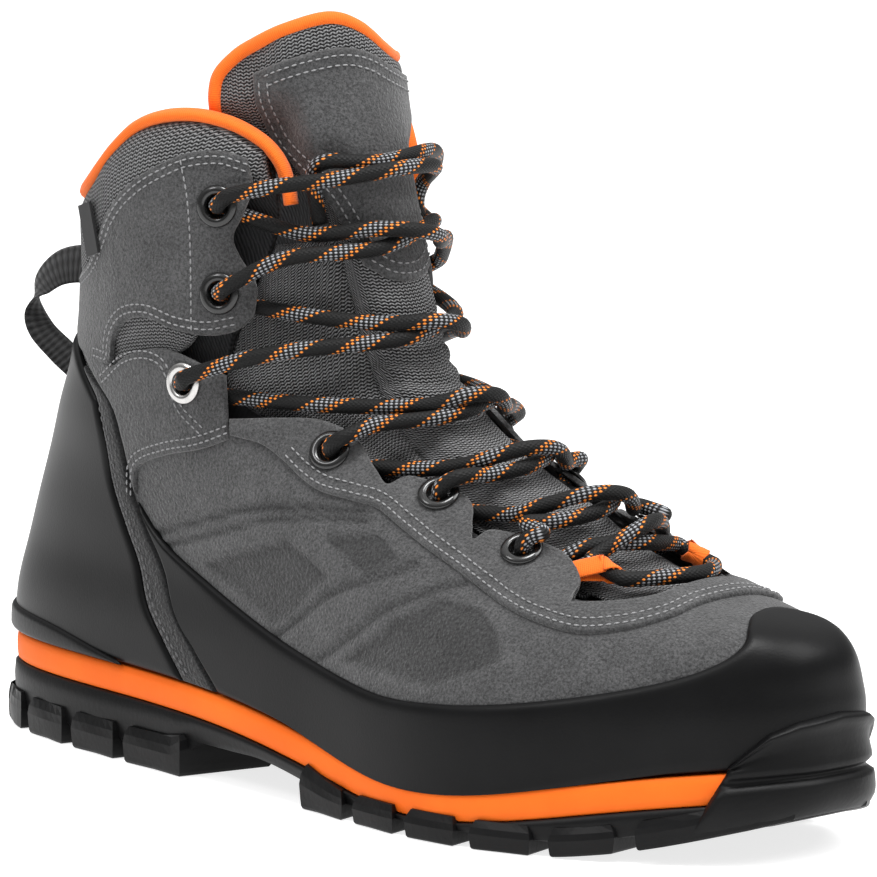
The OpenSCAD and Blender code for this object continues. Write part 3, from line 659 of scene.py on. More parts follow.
def edge_distance(spots: np.ndarray) -> np.ndarray:
    """Distance of each grid spot from the grid's nearest border, in millimetres.

    Args:
        spots: rows by columns by direction and ring.

    Returns:
        Rows by columns.
    """
    rows, cols = spots.shape[:2]
    p = LAST.point(spots[..., 0].ravel(), spots[..., 1].ravel()).reshape(rows, cols, 3)
    across = np.zeros((rows, cols))
    across[:, 1:] = np.cumsum(np.linalg.norm(np.diff(p, axis=1), axis=2), axis=1)
    up = np.zeros((rows, cols))
    up[1:] = np.cumsum(np.linalg.norm(np.diff(p, axis=0), axis=2), axis=0)
    return np.minimum(
        np.minimum(across, across[:, -1:] - across), np.minimum(up, up[-1:] - up)
    )


def rolled(distance: np.ndarray, radius: float) -> np.ndarray:
    """Share of the full height at a distance from a rounded edge.

    Args:
        distance: distance from the edge.
        radius: radius of the rounding.

    Returns:
        Shares from 0 to 1.
    """
    w = 1 - np.clip(distance / radius, 0, 1)
    return np.sqrt(np.maximum(1 - w * w, 0))


def near_line(points: np.ndarray, line: np.ndarray) -> np.ndarray:
    """Distance of each point from a polyline, both in millimetres.

    Args:
        points: points to measure.
        line: corners of the polyline.

    Returns:
        One distance per point.
    """
    best = np.full(len(points), 1e9)
    for a, b in zip(line[:-1], line[1:]):
        ab = b - a
        w = np.clip(((points - a) @ ab) / max(ab @ ab, 1e-9), 0, 1)
        best = np.minimum(best, np.linalg.norm(points - a - w[:, None] * ab, axis=1))
    return best


def curve_points(path: np.ndarray, steps: int) -> np.ndarray:
    """Smooth curve through the rows of path, with steps between each pair.

    Args:
        path: points to pass through.
        steps: points between each pair.

    Returns:
        Points along the curve.
    """
    return at_rows(path, np.linspace(0, len(path) - 1, (len(path) - 1) * steps + 1))


def tube(
    name: str, path: np.ndarray, half: tuple[float, float], side: np.ndarray | None = None, count: int = 16
) -> bpy.types.Object:
    """Closed oval tube along a path.

    Args:
        name: object name.
        path: centre line in millimetres.
        half: half sizes along the side direction and across it.
        side: side directions, or None to carry one along without twist.
        count: points round the section.

    Returns:
        The new object. Its cloth map runs round the tube and along it.
    """
    run = np.gradient(path, axis=0)
    run /= np.linalg.norm(run, axis=1, keepdims=True)
    sides = np.empty_like(path)
    v = np.cross(run[0], [0, 0, 1.0] if abs(run[0][2]) < 0.8 else [1.0, 0, 0])
    for i, d in enumerate(run):
        v = (side[i] if side is not None else v) - d * ((side[i] if side is not None else v) @ d)
        v = v / np.linalg.norm(v)
        sides[i] = v
    up = np.cross(run, sides)
    turn = np.arange(count + 1) / count * 2 * np.pi
    ring = (
        path[:, None]
        + sides[:, None] * half[0] * np.cos(turn)[None, :, None]
        + up[:, None] * half[1] * np.sin(turn)[None, :, None]
    )
    n = len(path)
    along = np.concatenate([[0], np.cumsum(np.linalg.norm(np.diff(path, axis=0), axis=1))]) * MM
    made_uv = []
    faces = []
    for i in range(n - 1):
        for k in range(count):
            q = (k + 1) % count
            faces.append((i * count + k, i * count + q, (i + 1) * count + q, (i + 1) * count + k))
            made_uv += [
                (k / count, along[i]), ((k + 1) / count, along[i]),
                ((k + 1) / count, along[i + 1]), (k / count, along[i + 1]),
            ]
    faces.append(tuple(range(count))[::-1])
    made_uv += [(0.5, 0.0)] * count
    faces.append(tuple((n - 1) * count + k for k in range(count)))
    made_uv += [(0.5, along[-1])] * count
    made = add_mesh(name, ring[:, :count].reshape(-1, 3), faces)
    layer = made.data.uv_layers.new(name="cloth")
    layer.data.foreach_set("uv", np.array(made_uv, np.float32).ravel())
    if signed_volume(made) < 0:
        made.data.flip_normals()
    return made


def joined(name: str, parts: list[bpy.types.Object]) -> bpy.types.Object:
    """Joins several objects at the origin into one.

    Args:
        name: object name.
        parts: objects to join.

    Returns:
        The joined object.
    """
    bpy.ops.object.select_all(action="DESELECT")
    for part in parts:
        part.select_set(True)
    bpy.context.view_layer.objects.active = parts[0]
    bpy.ops.object.join()
    parts[0].name = name
    parts[0].data.name = name
    return parts[0]


def settle(
    piece: bpy.types.Object,
    finish: bpy.types.Material,
    slot: str,
    nodes: tuple[str, ...],
    body: Body | None = Body.BOOT,
) -> bpy.types.Object:
    """Dresses a finished piece, puts it on its body and lets it stand for CAD nodes.

    Args:
        piece: the mesh object.
        finish: the material.
        slot: the record's material slot.
        nodes: CAD nodes that the piece stands for.
        body: body that it rides on, or None to leave that to the caller.

    Returns:
        The piece.
    """
    piece.data.materials.clear()
    piece.data.materials.append(finish)
    if nodes:
        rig.replaces(piece, *nodes)
    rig.slot(piece, slot)
    if body is not None:
        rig.ride(piece, body.value)
    LOG.info("%s: %d faces on %s", piece.name, len(piece.data.polygons), body)
    return piece


# ---------------------------------------------------------------- finishes


@dataclass(frozen=True)
class SuedeFinish:
    """Napped leather: base colours and how rough the nap is."""

    dark: Colour
    light: Colour
    nap: float = 1450.0
    roughness: float = 0.92
    sheen: float = 0.25


@dataclass(frozen=True)
class KnitFinish:
    """Knitted mesh: thread and gap colours and stitches per metre."""

    thread: Colour
    gap: Colour
    columns: float = 1150.0
    rows: float = 1050.0
    lean: float = 0.5


@dataclass(frozen=True)
class MouldedFinish:
    """Moulded rubber or foam: colour, gloss and skin texture."""

    colour: Colour
    pale: Colour
    roughness: float
    grain: float
    relief: float
    specular: float = 0.35


@dataclass(frozen=True)
class WovenFinish:
    """Woven tape or webbing: colours and ribs per metre."""

    colour: Colour
    shade: Colour
    ribs: float
    ends: float
    relief: float = 0.00025


@dataclass(frozen=True)
class BraidFinish:
    """Round lace braid: ground colour, two fleck colours, carriers and pitch."""

    ground: Colour
    fleck: Colour
    accent: Colour
    carriers: float = 14.0
    pitch: float = 0.019


@dataclass(frozen=True)
class MetalFinish:
    """Enamelled or bare metal."""

    colour: Colour
    metallic: float
    roughness: float
    coat: float


def new_material(name: str, colour: Colour) -> tuple[bpy.types.Material, bpy.types.ShaderNodeTree]:
    """Makes an empty node material.

    Args:
        name: material name.
        colour: flat colour for viewports.

    Returns:
        The material and its node tree.
    """
    made = bpy.data.materials.new(name)
    made.use_nodes = True
    made.node_tree.nodes.clear()
    made.diffuse_color = (*colour, 1)
    return made, made.node_tree


def suede(name: str, finish: SuedeFinish) -> bpy.types.Material:
    """Napped leather with a fine grain, brushed patches, a soft sheen and painted shade in its pressed figures.

    Args:
        name: material name.
        finish: its colours and nap.

    Returns:
        The material.
    """
    made, tree = new_material(name, finish.light)
    nodes, links = tree.nodes, tree.links
    colour_frame = nodes.new("NodeFrame")
    colour_frame.label = "Nap colour"
    relief_frame = nodes.new("NodeFrame")
    relief_frame.label = "Nap relief"
    place = nodes.new("ShaderNodeTexCoord")
    place.label, place.location = "Place on the boot", (-1100, 0)
    grain = nodes.new("ShaderNodeTexNoise")
    grain.label, grain.location, grain.parent = "Fibre grain", (-860, 180), colour_frame
    brushed = nodes.new("ShaderNodeTexNoise")
    brushed.label, brushed.location, brushed.parent = "Brushed patches", (-860, -60), colour_frame
    tone = nodes.new("ShaderNodeValToRGB")
    tone.label, tone.location, tone.parent = "Dark to light fibres", (-620, 180), colour_frame
    patch_tone = nodes.new("ShaderNodeValToRGB")
    patch_tone.label, patch_tone.location, patch_tone.parent = "Patch tone", (-620, -60), colour_frame
    mix = nodes.new("ShaderNodeMix")
    mix.label, mix.location, mix.parent = "Patches over fibres", (-400, 120), colour_frame
    pressed = nodes.new("ShaderNodeAttribute")
    pressed.label, pressed.location, pressed.parent = "Pressed depth", (-620, -300), colour_frame
    # painted shade: the nap colour is darkened where the figures are pressed in, and lightened where they are raised
    flat = nodes.new("ShaderNodeMapRange")
    flat.label, flat.location, flat.parent = "Painted shade of pressed figures", (-400, -200), colour_frame
    painted_pressed_shade = nodes.new("ShaderNodeMix")
    painted_pressed_shade.label, painted_pressed_shade.location, painted_pressed_shade.parent = "Pressed figures", (-200, 60), colour_frame
    pits = nodes.new("ShaderNodeTexNoise")
    pits.label, pits.location, pits.parent = "Nap pits", (-860, -320), relief_frame
    bump = nodes.new("ShaderNodeBump")
    bump.label, bump.location, bump.parent = "Raised nap", (-320, -300), relief_frame
    skin = nodes.new("ShaderNodeBsdfPrincipled")
    skin.label, skin.location = "Suede surface", (0, 0)
    out = nodes.new("ShaderNodeOutputMaterial")
    out.label, out.location = "Surface out", (300, 0)

    grain.inputs["Scale"].default_value = finish.nap
    grain.inputs["Detail"].default_value = 3.0
    grain.inputs["Roughness"].default_value = 0.75
    brushed.inputs["Scale"].default_value = 95.0
    brushed.inputs["Detail"].default_value = 4.0
    brushed.inputs["Roughness"].default_value = 0.6
    tone.color_ramp.elements[0].position = 0.35
    tone.color_ramp.elements[0].color = (*finish.dark, 1)
    tone.color_ramp.elements[1].position = 0.64
    tone.color_ramp.elements[1].color = (*finish.light, 1)
    patch_tone.color_ramp.elements[0].position = 0.35
    patch_tone.color_ramp.elements[0].color = (0.84, 0.84, 0.84, 1)
    patch_tone.color_ramp.elements[1].position = 0.65
    patch_tone.color_ramp.elements[1].color = (1.1, 1.1, 1.1, 1)
    mix.data_type, mix.blend_type = "RGBA", "MULTIPLY"
    mix.inputs["Factor"].default_value = 1.0
    pressed.attribute_type, pressed.attribute_name = "GEOMETRY", "pressed"
    flat.inputs["From Min"].default_value = -0.8
    flat.inputs["From Max"].default_value = 0.8
    flat.inputs["To Min"].default_value = 0.55
    flat.inputs["To Max"].default_value = 1.45
    painted_pressed_shade.data_type, painted_pressed_shade.blend_type = "RGBA", "MULTIPLY"
    painted_pressed_shade.inputs["Factor"].default_value = 1.0
    pits.inputs["Scale"].default_value = finish.nap * 0.7
    pits.inputs["Detail"].default_value = 4.0
    bump.inputs["Strength"].default_value = 0.9
    bump.inputs["Distance"].default_value = 0.0006
    skin.inputs["Roughness"].default_value = finish.roughness
    skin.inputs["Specular IOR Level"].default_value = 0.18
    skin.inputs["Sheen Weight"].default_value = finish.sheen
    skin.inputs["Sheen Roughness"].default_value = 0.5

    links.new(place.outputs["Object"], grain.inputs["Vector"])
    links.new(place.outputs["Object"], brushed.inputs["Vector"])
    links.new(place.outputs["Object"], pits.inputs["Vector"])
    links.new(grain.outputs["Fac"], tone.inputs["Fac"])
    links.new(brushed.outputs["Fac"], patch_tone.inputs["Fac"])
    links.new(tone.outputs["Color"], mix.inputs["A"])
    links.new(patch_tone.outputs["Color"], mix.inputs["B"])
    links.new(pressed.outputs["Fac"], flat.inputs["Value"])
    links.new(mix.outputs["Result"], painted_pressed_shade.inputs["A"])
    links.new(flat.outputs["Result"], painted_pressed_shade.inputs["B"])
    links.new(painted_pressed_shade.outputs["Result"], skin.inputs["Base Color"])
    links.new(pits.outputs["Fac"], bump.inputs["Height"])
    links.new(bump.outputs["Normal"], skin.inputs["Normal"])
    links.new(skin.outputs["BSDF"], out.inputs["Surface"])
    return made


def knit(name: str, finish: KnitFinish) -> bpy.types.Material:
    """Warp-knitted mesh: zigzag threads in columns, with dark holes between them.

    Args:
        name: material name.
        finish: its colours and gauge.

    Returns:
        The material.
    """
    made, tree = new_material(name, finish.thread)
    nodes, links = tree.nodes, tree.links
    gauge_frame = nodes.new("NodeFrame")
    gauge_frame.label = "Knit columns and rows"
    loop_frame = nodes.new("NodeFrame")
    loop_frame.label = "Loops and holes"
    tone_frame = nodes.new("NodeFrame")
    tone_frame.label = "Thread colour"
    cloth = nodes.new("ShaderNodeUVMap")
    cloth.label, cloth.location = "Cloth map in metres", (-1700, 0)
    split = nodes.new("ShaderNodeSeparateXYZ")
    split.label, split.location, split.parent = "Across and along", (-1520, 0), gauge_frame
    column = nodes.new("ShaderNodeMath")
    column.label, column.location, column.parent = "Column number", (-1340, 120), gauge_frame
    row = nodes.new("ShaderNodeMath")
    row.label, row.location, row.parent = "Row number", (-1340, -60), gauge_frame
    zigzag = nodes.new("ShaderNodeMath")
    zigzag.label, zigzag.location, zigzag.parent = "Lean of the loops", (-1160, 120), loop_frame
    lean = nodes.new("ShaderNodeMath")
    lean.label, lean.location, lean.parent = "Row with lean", (-980, 20), loop_frame
    turns = nodes.new("ShaderNodeMath")
    turns.label, turns.location, turns.parent = "Row in turns", (-820, 20), loop_frame
    strand = nodes.new("ShaderNodeMath")
    strand.label, strand.location, strand.parent = "Strand height", (-660, 20), loop_frame
    lane = nodes.new("ShaderNodeMath")
    lane.label, lane.location, lane.parent = "Lane between columns", (-980, 220), loop_frame
    lane_wave = nodes.new("ShaderNodeMath")
    lane_wave.label, lane_wave.location, lane_wave.parent = "Lane depth", (-820, 220), loop_frame
    height = nodes.new("ShaderNodeMath")
    height.label, height.location, height.parent = "Loop height", (-480, 120), loop_frame
    uneven = nodes.new("ShaderNodeTexNoise")
    uneven.label, uneven.location, uneven.parent = "Uneven thread", (-820, -220), tone_frame
    wobble = nodes.new("ShaderNodeMath")
    wobble.label, wobble.location, wobble.parent = "Height with unevenness", (-480, -120), tone_frame
    tone = nodes.new("ShaderNodeValToRGB")
    tone.label, tone.location, tone.parent = "Hole to thread", (-300, -60), tone_frame
    bump = nodes.new("ShaderNodeBump")
    bump.label, bump.location = "Raised loops", (-260, -320)
    skin = nodes.new("ShaderNodeBsdfPrincipled")
    skin.label, skin.location = "Knit surface", (20, 0)
    out = nodes.new("ShaderNodeOutputMaterial")
    out.label, out.location = "Surface out", (320, 0)

    cloth.uv_map = "cloth"
    column.operation, row.operation = "MULTIPLY", "MULTIPLY"
    column.inputs[1].default_value = finish.columns
    row.inputs[1].default_value = finish.rows
    zigzag.operation = "PINGPONG"
    zigzag.inputs[1].default_value = 1.0
    lean.operation = "MULTIPLY_ADD"
    lean.inputs[1].default_value = finish.lean
    turns.operation = "MULTIPLY"
    turns.inputs[1].default_value = 2 * math.pi
    strand.operation = "SINE"
    lane.operation = "MULTIPLY"
    lane.inputs[1].default_value = 2 * math.pi
    lane_wave.operation = "COSINE"
    height.operation = "MULTIPLY_ADD"
    height.inputs[1].default_value = -0.45
    uneven.inputs["Scale"].default_value = 420.0
    uneven.inputs["Detail"].default_value = 3.0
    wobble.operation = "ADD"
    tone.color_ramp.elements[0].position = 0.5
    tone.color_ramp.elements[0].color = (*finish.gap, 1)
    tone.color_ramp.elements[1].position = 1.0
    tone.color_ramp.elements[1].color = (*finish.thread, 1)
    bump.inputs["Strength"].default_value = 0.8
    bump.inputs["Distance"].default_value = 0.0004
    skin.inputs["Roughness"].default_value = 0.85
    skin.inputs["Specular IOR Level"].default_value = 0.25
    skin.inputs["Sheen Weight"].default_value = 0.15

    links.new(cloth.outputs["UV"], split.inputs["Vector"])
    links.new(split.outputs["X"], column.inputs[0])
    links.new(split.outputs["Y"], row.inputs[0])
    links.new(column.outputs["Value"], zigzag.inputs[0])
    links.new(zigzag.outputs["Value"], lean.inputs[0])
    links.new(row.outputs["Value"], lean.inputs[2])
    links.new(lean.outputs["Value"], turns.inputs[0])
    links.new(turns.outputs["Value"], strand.inputs[0])
    links.new(column.outputs["Value"], lane.inputs[0])
    links.new(lane.outputs["Value"], lane_wave.inputs[0])
    links.new(lane_wave.outputs["Value"], height.inputs[0])
    links.new(strand.outputs["Value"], height.inputs[2])
    links.new(cloth.outputs["UV"], uneven.inputs["Vector"])
    links.new(height.outputs["Value"], wobble.inputs[0])
    links.new(uneven.outputs["Fac"], wobble.inputs[1])
    links.new(wobble.outputs["Value"], tone.inputs["Fac"])
    links.new(tone.outputs["Color"], skin.inputs["Base Color"])
    links.new(height.outputs["Value"], bump.inputs["Height"])
    links.new(bump.outputs["Normal"], skin.inputs["Normal"])
    links.new(skin.outputs["BSDF"], out.inputs["Surface"])
    return made


def moulded(name: str, finish: MouldedFinish) -> bpy.types.Material:
    """Moulded rubber or foam with a fine skin texture and slight colour drift.

    Args:
        name: material name.
        finish: its colours, gloss and texture.

    Returns:
        The material.
    """
    made, tree = new_material(name, finish.colour)
    nodes, links = tree.nodes, tree.links
    colour_frame = nodes.new("NodeFrame")
    colour_frame.label = "Colour drift"
    gloss_frame = nodes.new("NodeFrame")
    gloss_frame.label = "Rubbed gloss"
    skin_frame = nodes.new("NodeFrame")
    skin_frame.label = "Moulded skin"
    place = nodes.new("ShaderNodeTexCoord")
    place.label, place.location = "Place on the boot", (-1000, 0)
    drift = nodes.new("ShaderNodeTexNoise")
    drift.label, drift.location, drift.parent = "Slow colour drift", (-760, 200), colour_frame
    tone = nodes.new("ShaderNodeValToRGB")
    tone.label, tone.location, tone.parent = "Body colour", (-520, 200), colour_frame
    rubbed = nodes.new("ShaderNodeTexNoise")
    rubbed.label, rubbed.location, rubbed.parent = "Rubbed areas", (-760, -60), gloss_frame
    gloss = nodes.new("ShaderNodeMapRange")
    gloss.label, gloss.location, gloss.parent = "Roughness range", (-520, -60), gloss_frame
    grain = nodes.new("ShaderNodeTexNoise")
    grain.label, grain.location, grain.parent = "Skin grain", (-760, -320), skin_frame
    bump = nodes.new("ShaderNodeBump")
    bump.label, bump.location, bump.parent = "Grain relief", (-320, -320), skin_frame
    skin = nodes.new("ShaderNodeBsdfPrincipled")
    skin.label, skin.location = "Moulded surface", (0, 0)
    out = nodes.new("ShaderNodeOutputMaterial")
    out.label, out.location = "Surface out", (300, 0)

    drift.inputs["Scale"].default_value = 38.0
    drift.inputs["Detail"].default_value = 5.0
    tone.color_ramp.elements[0].position = 0.35
    tone.color_ramp.elements[0].color = (*finish.colour, 1)
    tone.color_ramp.elements[1].position = 0.75
    tone.color_ramp.elements[1].color = (*finish.pale, 1)
    rubbed.inputs["Scale"].default_value = 22.0
    rubbed.inputs["Detail"].default_value = 3.0
    gloss.inputs["To Min"].default_value = finish.roughness - 0.06
    gloss.inputs["To Max"].default_value = finish.roughness + 0.06
    grain.inputs["Scale"].default_value = finish.grain
    grain.inputs["Detail"].default_value = 3.0
    bump.inputs["Strength"].default_value = 0.35
    bump.inputs["Distance"].default_value = finish.relief
    skin.inputs["Specular IOR Level"].default_value = finish.specular

    links.new(place.outputs["Object"], drift.inputs["Vector"])
    links.new(place.outputs["Object"], rubbed.inputs["Vector"])
    links.new(place.outputs["Object"], grain.inputs["Vector"])
    links.new(drift.outputs["Fac"], tone.inputs["Fac"])
    links.new(tone.outputs["Color"], skin.inputs["Base Color"])
    links.new(rubbed.outputs["Fac"], gloss.inputs["Value"])
    links.new(gloss.outputs["Result"], skin.inputs["Roughness"])
    links.new(grain.outputs["Fac"], bump.inputs["Height"])
    links.new(bump.outputs["Normal"], skin.inputs["Normal"])
    links.new(skin.outputs["BSDF"], out.inputs["Surface"])
    return made


def woven(name: str, finish: WovenFinish) -> bpy.types.Material:
    """Woven tape or webbing: ribs across and threads along.

    Args:
        name: material name.
        finish: its colours and thread counts.

    Returns:
        The material.
    """
    made, tree = new_material(name, finish.colour)
    nodes, links = tree.nodes, tree.links
    weave_frame = nodes.new("NodeFrame")
    weave_frame.label = "Ribs and ends"
    tone_frame = nodes.new("NodeFrame")
    tone_frame.label = "Tape colour"
    place = nodes.new("ShaderNodeTexCoord")
    place.label, place.location = "Place on the boot", (-1300, -260)
    cloth = nodes.new("ShaderNodeUVMap")
    cloth.label, cloth.location = "Cloth map", (-1300, 60)
    split = nodes.new("ShaderNodeSeparateXYZ")
    split.label, split.location, split.parent = "Round and along", (-1120, 60), weave_frame
    rib = nodes.new("ShaderNodeMath")
    rib.label, rib.location, rib.parent = "Ribs along", (-940, 0), weave_frame
    rib_wave = nodes.new("ShaderNodeMath")
    rib_wave.label, rib_wave.location, rib_wave.parent = "Rib height", (-760, 0), weave_frame
    end = nodes.new("ShaderNodeMath")
    end.label, end.location, end.parent = "Ends across", (-940, 180), weave_frame
    end_wave = nodes.new("ShaderNodeMath")
    end_wave.label, end_wave.location, end_wave.parent = "End height", (-760, 180), weave_frame
    cross = nodes.new("ShaderNodeMath")
    cross.label, cross.location, cross.parent = "Woven height", (-580, 90), weave_frame
    fuzz = nodes.new("ShaderNodeTexNoise")
    fuzz.label, fuzz.location, fuzz.parent = "Fibre fuzz", (-760, -260), tone_frame
    sum_up = nodes.new("ShaderNodeMath")
    sum_up.label, sum_up.location, sum_up.parent = "Weave with fuzz", (-560, -160), tone_frame
    tone = nodes.new("ShaderNodeValToRGB")
    tone.label, tone.location, tone.parent = "Gap to thread", (-380, -100), tone_frame
    bump = nodes.new("ShaderNodeBump")
    bump.label, bump.location = "Woven relief", (-260, -360)
    skin = nodes.new("ShaderNodeBsdfPrincipled")
    skin.label, skin.location = "Tape surface", (20, 0)
    out = nodes.new("ShaderNodeOutputMaterial")
    out.label, out.location = "Surface out", (320, 0)

    cloth.uv_map = "cloth"
    rib.operation, end.operation = "MULTIPLY", "MULTIPLY"
    rib.inputs[1].default_value = finish.ribs * 2 * math.pi
    end.inputs[1].default_value = finish.ends * 2 * math.pi
    rib_wave.operation, end_wave.operation = "SINE", "SINE"
    cross.operation = "MULTIPLY_ADD"
    cross.inputs[1].default_value = 0.5
    fuzz.inputs["Scale"].default_value = 900.0
    fuzz.inputs["Detail"].default_value = 3.0
    sum_up.operation = "ADD"
    tone.color_ramp.elements[0].position = 0.0
    tone.color_ramp.elements[0].color = (*finish.shade, 1)
    tone.color_ramp.elements[1].position = 0.9
    tone.color_ramp.elements[1].color = (*finish.colour, 1)
    bump.inputs["Strength"].default_value = 0.5
    bump.inputs["Distance"].default_value = finish.relief
    skin.inputs["Roughness"].default_value = 0.8
    skin.inputs["Specular IOR Level"].default_value = 0.25
    skin.inputs["Sheen Weight"].default_value = 0.15

    links.new(cloth.outputs["UV"], split.inputs["Vector"])
    links.new(split.outputs["Y"], rib.inputs[0])
    links.new(split.outputs["X"], end.inputs[0])
    links.new(rib.outputs["Value"], rib_wave.inputs[0])
    links.new(end.outputs["Value"], end_wave.inputs[0])
    links.new(end_wave.outputs["Value"], cross.inputs[0])
    links.new(rib_wave.outputs["Value"], cross.inputs[2])
    links.new(place.outputs["Object"], fuzz.inputs["Vector"])
    links.new(cross.outputs["Value"], sum_up.inputs[0])
    links.new(fuzz.outputs["Fac"], sum_up.inputs[1])
    links.new(sum_up.outputs["Value"], tone.inputs["Fac"])
    links.new(tone.outputs["Color"], skin.inputs["Base Color"])
    links.new(cross.outputs["Value"], bump.inputs["Height"])
    links.new(bump.outputs["Normal"], skin.inputs["Normal"])
    links.new(skin.outputs["BSDF"], out.inputs["Surface"])
    return made


def braid(name: str, finish: BraidFinish) -> bpy.types.Material:
    """Round braid: black carriers crossed by a band of pale and bright ones.

    Args:
        name: material name.
        finish: its colours, carriers and pitch.

    Returns:
        The material.
    """
    made, tree = new_material(name, finish.ground)
    nodes, links = tree.nodes, tree.links
    helix_frame = nodes.new("NodeFrame")
    helix_frame.label = "Two sets of carriers"
    top_frame = nodes.new("NodeFrame")
    top_frame.label = "Which carrier is on top"
    tone_frame = nodes.new("NodeFrame")
    tone_frame.label = "Carrier colours"
    cloth = nodes.new("ShaderNodeUVMap")
    cloth.label, cloth.location = "Round and along the lace", (-1900, 0)
    split = nodes.new("ShaderNodeSeparateXYZ")
    split.label, split.location = "Split", (-1720, 0)
    around = nodes.new("ShaderNodeMath")
    around.label, around.location, around.parent = "Carriers round", (-1540, 120), helix_frame
    along = nodes.new("ShaderNodeMath")
    along.label, along.location, along.parent = "Carriers along", (-1540, -60), helix_frame
    right = nodes.new("ShaderNodeMath")
    right.label, right.location, right.parent = "Right-hand carriers", (-1360, 120), helix_frame
    left = nodes.new("ShaderNodeMath")
    left.label, left.location, left.parent = "Left-hand carriers", (-1360, -60), helix_frame
    right_no = nodes.new("ShaderNodeMath")
    right_no.label, right_no.location, right_no.parent = "Right-hand number", (-1180, 180), top_frame
    left_no = nodes.new("ShaderNodeMath")
    left_no.label, left_no.location, left_no.parent = "Left-hand number", (-1180, 0), top_frame
    both = nodes.new("ShaderNodeMath")
    both.label, both.location, both.parent = "Sum of numbers", (-1000, 60), top_frame
    parity = nodes.new("ShaderNodeMath")
    parity.label, parity.location, parity.parent = "Right one on top", (-820, 60), top_frame
    share = nodes.new("ShaderNodeMath")
    share.label, share.location, share.parent = "Carrier round the braid", (-1000, 260), tone_frame
    wheel = nodes.new("ShaderNodeMath")
    wheel.label, wheel.location, wheel.parent = "Share of the wheel", (-820, 260), tone_frame
    colours = nodes.new("ShaderNodeValToRGB")
    colours.label, colours.location, colours.parent = "Carrier colour", (-640, 280), tone_frame
    pick = nodes.new("ShaderNodeMix")
    pick.label, pick.location, pick.parent = "Top carrier's colour", (-320, 160), tone_frame
    cell = nodes.new("ShaderNodeMath")
    cell.label, cell.location = "Place across the carrier", (-1000, -160)
    cell_other = nodes.new("ShaderNodeMath")
    cell_other.label, cell_other.location = "Place along the carrier", (-1000, -320)
    hump = nodes.new("ShaderNodeMath")
    hump.label, hump.location = "Crown across", (-820, -160)
    hump_other = nodes.new("ShaderNodeMath")
    hump_other.label, hump_other.location = "Crown along", (-820, -320)
    crown = nodes.new("ShaderNodeMath")
    crown.label, crown.location = "Crown of each float", (-640, -220)
    shade = nodes.new("ShaderNodeMapRange")
    shade.label, shade.location = "Dark between floats", (-460, -140)
    dressed = nodes.new("ShaderNodeMix")
    dressed.label, dressed.location = "Colour with dark gaps", (-120, 100)
    bump = nodes.new("ShaderNodeBump")
    bump.label, bump.location = "Braid relief", (-120, -260)
    skin = nodes.new("ShaderNodeBsdfPrincipled")
    skin.label, skin.location = "Lace surface", (120, 0)
    out = nodes.new("ShaderNodeOutputMaterial")
    out.label, out.location = "Surface out", (420, 0)

    cloth.uv_map = "cloth"
    around.operation, along.operation = "MULTIPLY", "MULTIPLY"
    around.inputs[1].default_value = finish.carriers
    along.inputs[1].default_value = finish.carriers / finish.pitch
    right.operation, left.operation = "ADD", "SUBTRACT"
    right_no.operation, left_no.operation = "FLOOR", "FLOOR"
    both.operation = "ADD"
    parity.operation = "FLOORED_MODULO"
    parity.inputs[1].default_value = 2.0
    share.operation = "FLOORED_MODULO"
    share.inputs[1].default_value = finish.carriers
    wheel.operation = "DIVIDE"
    wheel.inputs[1].default_value = finish.carriers
    colours.color_ramp.interpolation = "CONSTANT"
    colours.color_ramp.elements[0].position = 0.0
    colours.color_ramp.elements[0].color = (*finish.accent, 1)
    colours.color_ramp.elements[1].position = 0.13
    colours.color_ramp.elements[1].color = (*finish.fleck, 1)
    bright = colours.color_ramp.elements.new(0.36)
    bright.color = (*finish.accent, 1)
    black = colours.color_ramp.elements.new(0.49)
    black.color = (*finish.ground, 1)
    pick.data_type, dressed.data_type = "RGBA", "RGBA"
    pick.inputs["A"].default_value = (*finish.ground, 1)
    dressed.inputs["A"].default_value = (0.004, 0.004, 0.004, 1)
    cell.operation, cell_other.operation = "FRACT", "FRACT"
    hump.operation, hump_other.operation = "PINGPONG", "PINGPONG"
    hump.inputs[1].default_value, hump_other.inputs[1].default_value = 0.5, 0.5
    crown.operation = "MULTIPLY"
    shade.inputs["From Min"].default_value = 0.0
    shade.inputs["From Max"].default_value = 0.09
    bump.inputs["Strength"].default_value = 0.7
    bump.inputs["Distance"].default_value = 0.0008
    skin.inputs["Roughness"].default_value = 0.55
    skin.inputs["Specular IOR Level"].default_value = 0.2
    skin.inputs["Sheen Weight"].default_value = 0.03

